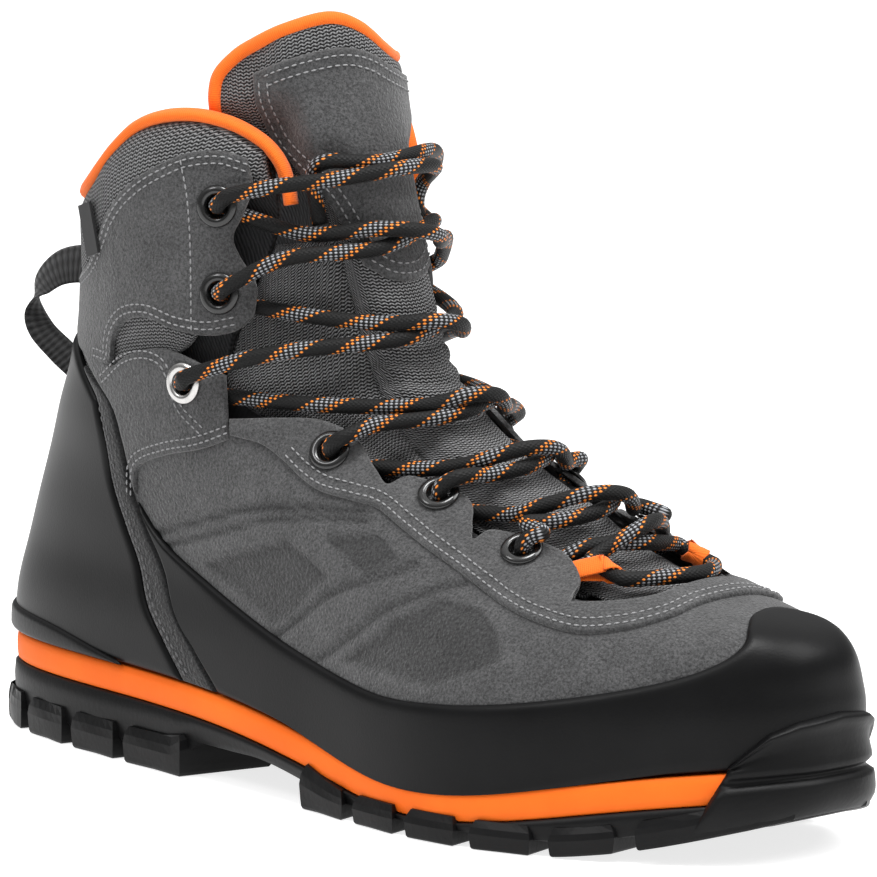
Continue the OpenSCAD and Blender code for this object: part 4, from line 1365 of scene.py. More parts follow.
    links.new(cloth.outputs["UV"], split.inputs["Vector"])
    links.new(split.outputs["X"], around.inputs[0])
    links.new(split.outputs["Y"], along.inputs[0])
    links.new(around.outputs["Value"], right.inputs[0])
    links.new(along.outputs["Value"], right.inputs[1])
    links.new(around.outputs["Value"], left.inputs[0])
    links.new(along.outputs["Value"], left.inputs[1])
    links.new(right.outputs["Value"], right_no.inputs[0])
    links.new(left.outputs["Value"], left_no.inputs[0])
    links.new(right_no.outputs["Value"], both.inputs[0])
    links.new(left_no.outputs["Value"], both.inputs[1])
    links.new(both.outputs["Value"], parity.inputs[0])
    links.new(right_no.outputs["Value"], share.inputs[0])
    links.new(share.outputs["Value"], wheel.inputs[0])
    links.new(wheel.outputs["Value"], colours.inputs["Fac"])
    links.new(parity.outputs["Value"], pick.inputs["Factor"])
    links.new(colours.outputs["Color"], pick.inputs["B"])
    links.new(right.outputs["Value"], cell.inputs[0])
    links.new(left.outputs["Value"], cell_other.inputs[0])
    links.new(cell.outputs["Value"], hump.inputs[0])
    links.new(cell_other.outputs["Value"], hump_other.inputs[0])
    links.new(hump.outputs["Value"], crown.inputs[0])
    links.new(hump_other.outputs["Value"], crown.inputs[1])
    links.new(crown.outputs["Value"], shade.inputs["Value"])
    links.new(shade.outputs["Result"], dressed.inputs["Factor"])
    links.new(pick.outputs["Result"], dressed.inputs["B"])
    links.new(dressed.outputs["Result"], skin.inputs["Base Color"])
    links.new(crown.outputs["Value"], bump.inputs["Height"])
    links.new(bump.outputs["Normal"], skin.inputs["Normal"])
    links.new(skin.outputs["BSDF"], out.inputs["Surface"])
    return made


def metal(name: str, finish: MetalFinish) -> bpy.types.Material:
    """Enamelled or bare metal with faint scratches.

    Args:
        name: material name.
        finish: its colour and gloss.

    Returns:
        The material.
    """
    made, tree = new_material(name, finish.colour)
    nodes, links = tree.nodes, tree.links
    wear_frame = nodes.new("NodeFrame")
    wear_frame.label = "Handling marks"
    place = nodes.new("ShaderNodeTexCoord")
    place.label, place.location = "Place on the boot", (-900, 0)
    marks = nodes.new("ShaderNodeTexNoise")
    marks.label, marks.location, marks.parent = "Fine marks", (-700, 0), wear_frame
    gloss = nodes.new("ShaderNodeMapRange")
    gloss.label, gloss.location, gloss.parent = "Roughness of the marks", (-480, 0), wear_frame
    tone = nodes.new("ShaderNodeValToRGB")
    tone.label, tone.location, tone.parent = "Thin spots", (-480, 260), wear_frame
    skin = nodes.new("ShaderNodeBsdfPrincipled")
    skin.label, skin.location = "Metal surface", (-160, 0)
    out = nodes.new("ShaderNodeOutputMaterial")
    out.label, out.location = "Surface out", (140, 0)

    marks.inputs["Scale"].default_value = 650.0
    marks.inputs["Detail"].default_value = 4.0
    gloss.inputs["To Min"].default_value = finish.roughness * 0.7
    gloss.inputs["To Max"].default_value = finish.roughness * 1.4
    tone.color_ramp.elements[0].color = (*[c * 0.8 for c in finish.colour], 1)
    tone.color_ramp.elements[1].color = (*[min(c * 1.25 + 0.003, 1) for c in finish.colour], 1)
    skin.inputs["Metallic"].default_value = finish.metallic
    skin.inputs["Coat Weight"].default_value = finish.coat
    skin.inputs["Coat Roughness"].default_value = 0.12

    links.new(place.outputs["Object"], marks.inputs["Vector"])
    links.new(marks.outputs["Fac"], gloss.inputs["Value"])
    links.new(marks.outputs["Fac"], tone.inputs["Fac"])
    links.new(tone.outputs["Color"], skin.inputs["Base Color"])
    links.new(gloss.outputs["Result"], skin.inputs["Roughness"])
    links.new(skin.outputs["BSDF"], out.inputs["Surface"])
    return made


def thread(name: str, colour: Colour) -> bpy.types.Material:
    """Twisted sewing thread.

    Args:
        name: material name.
        colour: the thread's colour.

    Returns:
        The material.
    """
    made, tree = new_material(name, colour)
    nodes, links = tree.nodes, tree.links
    twist_frame = nodes.new("NodeFrame")
    twist_frame.label = "Twist of the plies"
    place = nodes.new("ShaderNodeTexCoord")
    place.label, place.location = "Place on the boot", (-900, 0)
    plies = nodes.new("ShaderNodeTexWave")
    plies.label, plies.location, plies.parent = "Plies", (-700, 0), twist_frame
    tone = nodes.new("ShaderNodeValToRGB")
    tone.label, tone.location, tone.parent = "Ply shade", (-480, 0), twist_frame
    bump = nodes.new("ShaderNodeBump")
    bump.label, bump.location = "Ply relief", (-400, -260)
    skin = nodes.new("ShaderNodeBsdfPrincipled")
    skin.label, skin.location = "Thread surface", (-160, 0)
    out = nodes.new("ShaderNodeOutputMaterial")
    out.label, out.location = "Surface out", (140, 0)

    plies.bands_direction = "DIAGONAL"
    plies.inputs["Scale"].default_value = 900.0
    plies.inputs["Distortion"].default_value = 0.5
    tone.color_ramp.elements[0].color = (*[c * 0.7 for c in colour], 1)
    tone.color_ramp.elements[1].color = (*colour, 1)
    bump.inputs["Strength"].default_value = 0.3
    bump.inputs["Distance"].default_value = 0.0001
    skin.inputs["Roughness"].default_value = 0.6
    skin.inputs["Specular IOR Level"].default_value = 0.3

    links.new(place.outputs["Object"], plies.inputs["Vector"])
    links.new(plies.outputs["Fac"], tone.inputs["Fac"])
    links.new(plies.outputs["Fac"], bump.inputs["Height"])
    links.new(tone.outputs["Color"], skin.inputs["Base Color"])
    links.new(bump.outputs["Normal"], skin.inputs["Normal"])
    links.new(skin.outputs["BSDF"], out.inputs["Surface"])
    return made


# ---------------------------------------------------------------- stitching


@dataclass
class Stitching:
    """Seam lines of one thread, sewn by geometry nodes."""

    pitch: float = 2.15
    length: float = 1.6
    radius: float = 0.25
    lines: list[tuple[np.ndarray, np.ndarray]] = field(default_factory=list)

    def sew(self, line: np.ndarray, height: float | np.ndarray) -> None:
        """Adds a seam given as directions and rings, at a height over the last.

        Args:
            line: directions and rings along the seam.
            height: height over the last, in millimetres.
        """
        phi, t = line[:, 0], line[:, 1]
        self.lines.append((LAST.off(phi, t, height), LAST.normal(phi, t)))

    def tree(self, finish: bpy.types.Material) -> bpy.types.NodeTree:
        """Node group that lays a stitch at each pitch along the seam lines.

        Args:
            finish: the thread's material.

        Returns:
            The group, with the pitch, stitch length and thread radius as inputs.
        """
        group = bpy.data.node_groups.new("Stitches along seams", "GeometryNodeTree")
        group.interface.new_socket("Geometry", in_out="INPUT", socket_type="NodeSocketGeometry")
        for label in ("Pitch", "Stitch length", "Thread radius"):
            group.interface.new_socket(label, in_out="INPUT", socket_type="NodeSocketFloat")
        group.interface.new_socket("Geometry", in_out="OUTPUT", socket_type="NodeSocketGeometry")
        nodes, links = group.nodes, group.links
        start = nodes.new("NodeGroupInput")
        start.label, start.location = "Seams and sizes", (-1200, 0)
        curve = nodes.new("GeometryNodeMeshToCurve")
        curve.label, curve.location = "Seam curves", (-1000, 100)
        pace = nodes.new("GeometryNodeResampleCurve")
        pace.label, pace.location = "One point per stitch", (-800, 100)
        tangent = nodes.new("GeometryNodeInputTangent")
        tangent.label, tangent.location = "Along the seam", (-1000, -200)
        facing = nodes.new("GeometryNodeInputNamedAttribute")
        facing.label, facing.location = "Away from the leather", (-1000, -340)
        turn = nodes.new("FunctionNodeAlignRotationToVector")
        turn.label, turn.location = "Point along", (-780, -200)
        lean = nodes.new("FunctionNodeAlignRotationToVector")
        lean.label, lean.location = "Face out", (-580, -240)
        bead = nodes.new("GeometryNodeMeshUVSphere")
        bead.label, bead.location = "Bead of thread", (-1000, -520)
        size = nodes.new("ShaderNodeCombineXYZ")
        size.label, size.location = "Stitch size", (-800, -640)
        half = nodes.new("ShaderNodeMath")
        half.label, half.location = "Half length", (-1000, -680)
        stretch = nodes.new("GeometryNodeTransform")
        stretch.label, stretch.location = "Long stitch", (-600, -520)
        lay = nodes.new("GeometryNodeInstanceOnPoints")
        lay.label, lay.location = "Stitch on each point", (-360, 0)
        real = nodes.new("GeometryNodeRealizeInstances")
        real.label, real.location = "Real stitches", (-160, 0)
        dress = nodes.new("GeometryNodeSetMaterial")
        dress.label, dress.location = "Thread", (40, 0)
        end = nodes.new("NodeGroupOutput")
        end.label, end.location = "Stitches", (240, 0)

        pace.mode = "LENGTH"
        facing.data_type = "FLOAT_VECTOR"
        facing.inputs["Name"].default_value = "facing"
        turn.axis = "X"
        lean.axis, lean.pivot_axis = "Z", "X"
        bead.inputs["Segments"].default_value = 8
        bead.inputs["Rings"].default_value = 5
        bead.inputs["Radius"].default_value = 1.0
        half.operation = "MULTIPLY"
        half.inputs[1].default_value = 0.5
        dress.inputs["Material"].default_value = finish

        links.new(start.outputs["Geometry"], curve.inputs["Mesh"])
        links.new(curve.outputs["Curve"], pace.inputs["Curve"])
        links.new(start.outputs["Pitch"], pace.inputs["Length"])
        links.new(tangent.outputs["Tangent"], turn.inputs["Vector"])
        links.new(turn.outputs["Rotation"], lean.inputs["Rotation"])
        links.new(facing.outputs["Attribute"], lean.inputs["Vector"])
        links.new(start.outputs["Stitch length"], half.inputs[0])
        links.new(half.outputs["Value"], size.inputs["X"])
        links.new(start.outputs["Thread radius"], size.inputs["Y"])
        links.new(start.outputs["Thread radius"], size.inputs["Z"])
        links.new(bead.outputs["Mesh"], stretch.inputs["Geometry"])
        links.new(size.outputs["Vector"], stretch.inputs["Scale"])
        links.new(pace.outputs["Curve"], lay.inputs["Points"])
        links.new(stretch.outputs["Geometry"], lay.inputs["Instance"])
        links.new(lean.outputs["Rotation"], lay.inputs["Rotation"])
        links.new(lay.outputs["Instances"], real.inputs["Geometry"])
        links.new(real.outputs["Geometry"], dress.inputs["Geometry"])
        links.new(dress.outputs["Geometry"], end.inputs["Geometry"])
        return group

    def build(self, name: str, finish: bpy.types.Material) -> bpy.types.Object:
        """Sews every seam line into one plain mesh.

        Args:
            name: object name.
            finish: the thread's material.

        Returns:
            The stitches.
        """
        points, edges, facing = [], [], []
        for line, out in self.lines:
            first = len(points)
            points += (line * MM).tolist()
            facing += out.tolist()
            edges += [(first + i, first + i + 1) for i in range(len(line) - 1)]
        mesh = bpy.data.meshes.new(name + "_seams")
        mesh.from_pydata(points, edges, [])
        layer = mesh.attributes.new("facing", "FLOAT_VECTOR", "POINT")
        layer.data.foreach_set("vector", np.array(facing, np.float32).ravel())
        carrier = bpy.data.objects.new(name + "_seams", mesh)
        bpy.context.scene.collection.objects.link(carrier)
        step = carrier.modifiers.new("Sew", "NODES")
        step.node_group = self.tree(finish)
        sizes = {"Pitch": self.pitch, "Stitch length": self.length, "Thread radius": self.radius}
        for socket in step.node_group.interface.items_tree:
            if socket.in_out == "INPUT" and socket.name in sizes:
                step[socket.identifier] = sizes[socket.name] * MM
        graph = bpy.context.evaluated_depsgraph_get()
        plain = bpy.data.meshes.new_from_object(carrier.evaluated_get(graph), depsgraph=graph)
        carrier.modifiers.remove(step)
        bpy.data.objects.remove(carrier)
        made = bpy.data.objects.new(name, plain)
        plain.polygons.foreach_set("use_smooth", [True] * len(plain.polygons))
        bpy.context.scene.collection.objects.link(made)
        return made


# ---------------------------------------------------------------- cut pieces


@dataclass
class CutPiece:
    """A cut piece of leather, knit or rubber: four borders, two depths and a rolled edge."""

    low: Border
    high: Border
    outer: float
    inner: float
    first: Border | None = None
    last: Border | None = None
    pitch: float = 1.3
    roll: float = 0.9
    hem: float = 0.15

    def spots(self, side: Side = Side.OUTER) -> np.ndarray:
        """Grid of directions and rings, close together near the edges.

        Args:
            side: outer or inner side of the boot.

        Returns:
            Rows by columns by direction and ring.
        """
        first = self.first or [self.low[0], self.high[0]]
        last = self.last or [self.low[-1], self.high[-1]]
        wide = self.reach(self.low), self.reach(self.high)
        tall = self.reach(first), self.reach(last)
        middle = coons(self.low, self.high, first, last, np.array([0.5]), np.linspace(0, 1, 9))[:, 0]
        tall = max(*tall, self.reach([tuple(p) for p in middle]), 2.0)
        wide = max(*wide, 2.0)
        steps = tuple(self.roll * k for k in (0.15, 0.4, 0.7, 1.05))
        u = spread(max(int(wide / self.pitch), 8), wide, steps)
        v = spread(max(int(tall / self.pitch), 8), tall, steps)
        made = coons(self.low, self.high, first, last, u, v)
        if side is Side.INNER:
            made = np.stack([360 - made[..., 0], made[..., 1]], -1)
        return made

    def reach(self, border: Border) -> float:
        """Length of a border on the boot, in millimetres.

        Args:
            border: directions and rings.

        Returns:
            The length.
        """
        p = resample(border, np.linspace(0, 1, 60))
        p = LAST.point(p[:, 0], p[:, 1])
        return float(np.linalg.norm(np.diff(p, axis=0), axis=1).sum())

    def build(self, name: str, side: Side = Side.OUTER, relief: "Relief | None" = None) -> bpy.types.Object:
        """Makes the piece.

        Args:
            name: object name.
            side: half of the boot.
            relief: raised and sunk figures in its face.

        Returns:
            The new object.
        """
        spots = self.spots(side)
        share = rolled(edge_distance(spots), self.roll)
        thick = self.outer - self.inner
        outer = self.inner + thick * (self.hem + (1 - self.hem) * share)
        depth = np.zeros(spots.shape[:2]) if relief is None else relief.depth(spots)
        made = shell(name, spots, outer + depth, np.full(spots.shape[:2], self.inner))
        if relief is not None:
            # the pressed depth also drives the suede's painted shade in its sunk figures
            layer = made.data.attributes.new("pressed", "FLOAT", "POINT")
            layer.data.foreach_set("value", np.tile(depth.ravel(), 2).astype(np.float32))
        return made


@dataclass
class Relief:
    """Pressed figures: grooves along lines and sunk or raised fields."""

    grooves: list[tuple[Border, float, float]] = field(default_factory=list)
    fields: list[tuple[Border, float]] = field(default_factory=list)

    def depth(self, spots: np.ndarray) -> np.ndarray:
        """Change of height at each spot, in millimetres.

        Args:
            spots: rows by columns by direction and ring.

        Returns:
            Rows by columns.
        """
        rows, cols = spots.shape[:2]
        p = LAST.point(spots[..., 0].ravel(), spots[..., 1].ravel())
        made = np.zeros(len(p))
        for border, width, deep in self.grooves:
            line = resample(border, np.linspace(0, 1, 24))
            far = near_line(p, LAST.point(line[:, 0], line[:, 1]))
            made -= deep * np.exp(-((far / width) ** 2))
        flat = spots.reshape(-1, 2)
        for border, deep in self.fields:
            ring = np.array(list(border) + [border[0]], float)
            far = near_line(p, LAST.point(*resample_straight(ring, 16).T))
            inside = np.zeros(len(flat), bool)
            for a, b in zip(ring[:-1], ring[1:]):
                cuts = (a[1] > flat[:, 1]) != (b[1] > flat[:, 1])
                rise = b[1] - a[1] if abs(b[1] - a[1]) > 1e-9 else 1e-9
                inside ^= cuts & (flat[:, 0] < (b[0] - a[0]) * (flat[:, 1] - a[1]) / rise + a[0])
            made += np.where(inside, deep * smooth(far, 0, 1.1), 0)
        return made.reshape(rows, cols)


def resample_straight(ring: np.ndarray, steps: int) -> np.ndarray:
    """Points on the straight runs of a polyline.

    Args:
        ring: corners of the polyline.
        steps: points on each straight run.

    Returns:
        Rows of direction and ring.
    """
    places = np.linspace(0, len(ring) - 1, (len(ring) - 1) * steps + 1)
    return np.stack([np.interp(places, np.arange(len(ring)), ring[:, k]) for k in (0, 1)], 1)


FLOOR = 0.03


@dataclass
class Cut:
    """Borders of the upper's pieces on the outer side, shared by the pieces that meet there."""

    cover_edge: Border = field(
        default_factory=lambda: [(70, FLOOR), (66, 0.75), (61, 1.75), (59, 3.4), (61, 4.65), (60, 5.4)]
    )
    trim_edge: Border = field(
        default_factory=lambda: [(76, FLOOR), (71.5, 0.75), (66, 1.75), (64, 3.4), (66.5, 4.65), (65.5, 5.4)]
    )
    rand_top: Border = field(
        default_factory=lambda: [
            (64.6, 3.45), (68, 2.6), (76, 1.85), (88, 1.25), (101, 0.97), (114, 1.0), (127, 1.1),
            (138, 1.25), (147, 1.45), (154, 1.7), (160, 2.0), (165, 2.28), (172, 2.52), (180, 2.62),
        ]
    )
    rand_low: Border = field(
        default_factory=lambda: [
            (p, FLOOR) for p in (76.5, 80, 86, 94, 104, 115, 127, 138, 147, 154, 160, 166, 173, 180)
        ]
    )
    stay_low: Border = field(
        default_factory=lambda: [
            (102, 5.12), (109, 5.02), (112, 4.75), (113, 4.5), (115, 4.3), (120, 4.2), (124, 4.1),
            (124.5, 3.8), (124.5, 3.5), (125, 3.2), (125.5, 2.9), (126, 2.6), (128, 2.35), (133, 2.15),
            (141, 2.25), (151, 2.5), (165, 2.8), (180, 2.9),
        ]
    )
    stay_high: Border = field(
        default_factory=lambda: [
            (104, 5.42), (117, 5.5), (128, 5.5), (134, 5.25), (132.5, 4.75), (132, 4.5), (140, 4.65),
            (147.5, 4.35), (141, 3.95), (136.5, 3.7), (144, 3.85), (152, 3.6), (147, 3.2), (138, 2.8),
            (144, 2.8), (155, 2.92), (167, 3.08), (180, 3.15),
        ]
    )
    cuff_low: Border = field(
        default_factory=lambda: [
            (1, 6.55), (16, 6.55), (32, 6.48), (46, 6.2), (60, 6.08), (67.5, 6.1), (70.5, 6.5), (77, 6.76),
            (86, 6.82),
            (95, 6.68), (104, 6.62), (112, 6.68), (118, 6.85),
        ]
    )
    cuff_high: Border = field(
        default_factory=lambda: [
            (1, 7.05), (24, 7.15), (44, 7.32), (58, 7.5), (66, 7.75), (72, 8.0), (79, 8.2), (88, 8.36),
            (98, 8.47), (106, 8.52), (116, 8.5), (124, 8.4),
        ]
    )
    cuff_front: Border = field(
        default_factory=lambda: [
            (118, 6.85), (120.5, 7.2), (117, 7.5), (116, 7.7), (120, 7.9), (124, 8.15), (124, 8.4)
        ]
    )
    ankle_low: Border = field(
        default_factory=lambda: [(65.2, 3.6), (70, 4.2), (80, 4.55), (91, 4.78), (101, 5.05)]
    )
    ankle_high: Border = field(
        default_factory=lambda: [(48, 6.24), (60, 6.16), (68.5, 6.08), (77, 6.3), (91, 6.42), (107, 6.1)]
    )
    ankle_back: Border = field(
        default_factory=lambda: [(65.2, 3.6), (67.6, 4.65), (66.4, 5.35), (57, 5.9), (48, 6.24)]
    )
    ankle_front: Border = field(default_factory=lambda: [(101, 5.05), (104.5, 5.6), (107, 6.1)])
    base_low: Border = field(
        default_factory=lambda: [(p, FLOOR) for p in (62, 82, 102, 120, 136, 148, 157, 168, 180)]
    )
    base_high: Border = field(
        default_factory=lambda: [
            (62, 3.8), (72, 4.5), (91, 5.0), (104, 5.3), (115, 5.1), (124, 4.5), (132, 4.25),
            (134, 3.85), (135.5, 3.5), (137, 3.1), (142, 2.8), (150, 2.8), (165, 2.98), (180, 3.05),
        ]
    )
    quarter_low: Border = field(
        default_factory=lambda: [(1, 3.55), (35, 3.55), (62, 3.6), (70, 4.2), (88, 4.75), (98, 4.95)]
    )
    quarter_high: Border = field(
        default_factory=lambda: [(1, 7.1), (40, 7.2), (60, 7.45), (72, 7.95), (90, 8.15), (104, 8.15)]
    )
    quarter_front: Border = field(
        default_factory=lambda: [
            (98, 4.95), (88, 5.7), (90, 6.2), (100, 6.6), (102, 7.1), (104, 7.7), (104, 8.15)
        ]
    )
    pad_low: Border = field(
        default_factory=lambda: [
            (0, 7.0), (40, 7.1), (60, 7.4), (72, 7.9), (90, 8.1), (104, 8.16), (117, 8.18), (129, 8.15)
        ]
    )
    pad_high: Border = field(
        default_factory=lambda: [
            (0, 8.12), (40, 8.22), (60, 8.36), (75, 8.62), (90, 8.8), (107, 8.79), (120, 8.64), (129, 8.45)
        ]
    )
    rim: Border = field(
        default_factory=lambda: [
            (0, 8.2), (15, 8.22), (30, 8.26), (45, 8.32), (58, 8.41), (68, 8.54), (78, 8.7), (88, 8.84),
            (98, 8.88), (108, 8.84), (117, 8.74), (124, 8.62), (130, 8.47), (133.5, 8.3), (134.5, 8.12),
            (134.5, 7.95),
        ]
    )
    throat: Border = field(
        default_factory=lambda: [
            (143, 3.16), (144, 3.6), (140, 4.3), (127, 5.0), (103, 5.8), (106, 6.4), (115, 7.1),
            (125, 7.6), (129, 7.9), (129.5, 8.4),
        ]
    )


CUT = Cut()
ANKLE_SEAM: Border = [(64, 5.78), (73.5, 6.13), (82, 6.27), (88, 6.22), (90, 6.0), (90.5, 5.5), (94, 5.12)]
TWIN_TOP: Border = [(66, 2.85), (72, 3.1), (79, 3.35), (94, 3.78), (106, 3.95), (121, 4.05)]
TWIN_LOW: Border = [(67, 2.6), (73, 2.87), (79.5, 3.12), (94, 3.58), (107, 3.8), (119, 3.88)]
RAY_BACK: Border = [(86, 1.35), (94, 2.15), (104, 2.7), (119, 3.25)]
RAY_FRONT: Border = [(93.5, 1.2), (104, 2.15), (116, 2.75), (124, 3.0)]
SUNK_FIELDS: tuple[Border, ...] = (
    [(73.5, 2.4), (84, 2.9), (97, 3.35), (99.5, 2.75), (93.5, 2.3), (85.5, 1.45)],
    [(104.5, 3.5), (119, 3.68), (117, 3.28), (106, 2.85)],
    [(96.5, 1.25), (106, 2.1), (117, 2.65), (122, 2.55), (121, 1.6), (112, 1.2)],
)
EYELET_SPOTS: Border = [(113, 8.0), (110, 7.12), (95, 5.95), (125, 4.98), (141, 4.35), (143, 3.55)]


def eyelet_spot(row: int, side: Side) -> tuple[float, float]:
    """Direction and ring of the eyelet in row 1 to 6.

    Args:
        row: row of the eyelet, 1 at the top.
        side: outer or inner side of the boot.

    Returns:
        The direction and ring.
    """
    phi, t = EYELET_SPOTS[row - 1]
    return (phi if side is Side.OUTER else 360 - phi, t)


# ---------------------------------------------------------------- sub-assemblies


@dataclass
class Sole:
    """Foam midsole, lugged tread, toe bumper and heel lip."""

    midsole_thickness: float = 8.0
    heel_lug: float = 5.0
    front_lug: float = 3.8
    arch: float = 9.7
    overhang: float = 3.3
    toe_spring: float = 13.0
    loops: int = 240

    def edge_height(self, x: np.ndarray) -> np.ndarray:
        """Height of the sole edge at x, before the shift to the centre.

        Args:
            x: distance along the boot, in millimetres.

        Returns:
            Heights in millimetres.
        """
        s = np.clip((x + 144) / 290, 0, 1)
        drop = (s - 0.68) / 0.22
        return 26 + s - 13 * np.exp(-drop * drop)

    def ground(self, x: np.ndarray) -> np.ndarray:
        """Height of the lugs' undersides: flat, then rising under the toe.

        Args:
            x: distance along the boot, in millimetres.

        Returns:
            Heights in millimetres.
        """
        return self.toe_spring * np.maximum((x - 92) / 57, 0) ** 1.6

    def slab(self, x: np.ndarray) -> np.ndarray:
        """Height of the tread slab's underside.

        Args:
            x: distance along the boot, in millimetres.

        Returns:
            Heights in millimetres.
        """
        front = self.ground(x) + self.front_lug
        front = front + (self.arch - self.front_lug) * (1 - smooth(x, -20, 26))
        heel = self.heel_lug + (self.arch - self.heel_lug) * smooth(x, -50, -42)
        return np.where(x < -20, heel, front)

    def foam_low(self, x: np.ndarray) -> np.ndarray:
        """Height of the foam's underside.

        Args:
            x: distance along the boot, in millimetres.

        Returns:
            Heights in millimetres.
        """
        return self.edge_height(x) - 0.3 - self.midsole_thickness

    def wall(self, name: str, profile: list[tuple]) -> bpy.types.Object:
        """Closed solid from loops round the sole.

        Args:
            name: object name.
            profile: from top to bottom, pairs of a height function of x and an offset.

        Returns:
            The new object.
        """
        phi = np.arange(self.loops) * 360 / self.loops + 0.75
        rings, uv = [], []
        for k, (height, d) in enumerate(profile):
            offset = d(phi) if callable(d) else d
            xy = LAST.sole_edge(phi, offset)
            rings.append(np.column_stack([xy, height(xy[:, 0] - LAST.centre[0])]))
            run = np.linalg.norm(np.diff(xy, axis=0, prepend=xy[:1]), axis=1).cumsum()
            uv.append(np.stack([run, np.full(self.loops, k * 2.0)], 1) * MM)
        n = self.loops
        faces = grid_faces(len(rings), n, 0, False, True)
        for base, turn in ((0, False), ((len(rings) - 1) * n, True)):
            for i in range(n // 2 - 1):
                a, b, c, d = base + i, base + i + 1, base + n - 2 - i, base + n - 1 - i
                faces.append((a, b, c, d) if turn else (d, c, b, a))
        made = add_mesh(name, np.concatenate(rings), faces, np.concatenate(uv))
        mesh = bmesh.new()
        mesh.from_mesh(made.data)
        bmesh.ops.recalc_face_normals(mesh, faces=mesh.faces)
        mesh.to_mesh(made.data)
        mesh.free()
        return made

    def foam(self) -> bpy.types.Object:
        """The midsole: a slightly crowned band of foam.

        Returns:
            The foam.
        """
        top_gap = 0.3
        crown = ((0, -4), (0, 0.2), (0.06, 0.8), (0.3, 1.15), (0.7, 1.15), (0.94, 0.9), (1, 0.4), (1, -4))

        def level(k: float):
            """Height at share k from the foam's upper edge to its lower one.

            Args:
                k: share from the foam's upper edge to its lower one.
            """

            def height(x: np.ndarray) -> np.ndarray:
                """Height of that level at x.

                Args:
                    x: distance along the boot, in millimetres.

                Returns:
                    Heights in millimetres.
                """
                top = self.edge_height(x) - top_gap
                return top + (self.foam_low(x) - top) * k

            return height

        return self.wall("midsole_foam", [(level(k), d) for k, d in crown])

    def slab_piece(self) -> bpy.types.Object:
        """The tread's slab: a wall that flares towards the ground at the heel.

        Returns:
            The slab.
        """
        def between(k: float):
            """Height at share k from the foam to the slab's underside.

            Args:
                k: share from the foam to the slab's underside.
            """
            return lambda x: (self.foam_low(x) - 0.2) * (1 - k) + self.slab(x) * k

        def flare(low: float, high: float):
            """Offset that is low at the arch and high at the heel and toe.

            Args:
                low: offset at the arch.
                high: offset at the heel and toe.
            """
            return lambda phi: low + (high - low) * np.maximum(
                smooth(70 - np.abs((phi + 180) % 360 - 180), 0, 18),
                smooth(np.abs((phi + 180) % 360 - 180), 92, 110),
            )

        return self.wall(
            "tread_slab",
            [
                (between(0), -4.0), (between(0), 0.9), (between(0.05), 1.6), (between(0.35), flare(1.3, 1.9)),
                (between(0.7), flare(0.7, 1.6)),
                (between(0.94), flare(0.4, 1.5)),
                (between(1), flare(-0.4, 0.8)),
                (between(1), -4.0),
            ],
        )

    def edge_direction(self, x: float, side: Side) -> float:
        """Direction at which the sole edge stands at x.

        Args:
            x: distance along the boot, in millimetres.
            side: outer or inner side of the boot.

        Returns:
            The direction in degrees.
        """
        phi = np.linspace(0.5, 179.5, 360)
        if side is Side.INNER:
            phi = 360 - phi
        return float(np.interp(x, self.edge_table(side), phi))

    def edge_table(self, side: Side) -> np.ndarray:
        """Positions along the boot of the flared edge, heel to toe.

        Args:
            side: outer or inner side of the boot.

        Returns:
            Positions in millimetres, before the shift to the centre.
        """
        phi = np.linspace(0.5, 179.5, 360)
        if side is Side.INNER:
            phi = 360 - phi
        return LAST.sole_edge(phi, self.overhang)[:, 0] - LAST.centre[0]

    def lug(self, outline: np.ndarray) -> tuple[np.ndarray, list]:
        """One tread block with drawn-in lower edges.

        Args:
            outline: plan corners in order, before the shift to the centre.

        Returns:
            Points and faces.
        """
        centre = outline.mean(axis=0)
        away = outline - centre
        length = np.linalg.norm(away, axis=1, keepdims=True)
        levels = []
        rounds = ((1.6, 2.0), (0.3, 1.55), (-0.2, 1.1), (0.1, 0.5), (0.35, 0.16), (0.7, 0.05), (1.2, 0.0))
        for pull, share in rounds:
            xy = centre + away * (1 - pull / length)
            low, high = self.ground(xy[:, 0]), self.slab(xy[:, 0])
            levels.append(np.column_stack([xy, low + (high - low) * share]))
        points = np.concatenate(levels) + np.array(LAST.centre)
        n = len(outline)
        faces = grid_faces(len(levels), n, 0, False, True)
        faces += [tuple(range(n))[::-1], tuple((len(levels) - 1) * n + i for i in range(n))]
        return points, faces

    def side_lug(self, start: float, end: float, lean: float, reach: float, side: Side) -> np.ndarray:
        """Outline of a block at the edge: its outer side follows the sole.

        Args:
            start: where the block starts along the edge.
            end: where it ends.
            lean: how far its inner side leans forwards.
            reach: how far it reaches inwards.
            side: outer or inner side of the boot.

        Returns:
            Corners as x and y.
        """
        span = np.linspace(start, end, 7)
        phi = np.array([self.edge_direction(x, side) for x in span])
        outer = LAST.sole_edge(phi, self.overhang) - np.array(LAST.centre[:2])
        y = -reach if side is Side.OUTER else reach
        inner = np.array([[end + lean, y], [(start + end) / 2 + lean * 0.8, y * 0.97], [start + lean, y]])
        return np.concatenate([outer, inner])

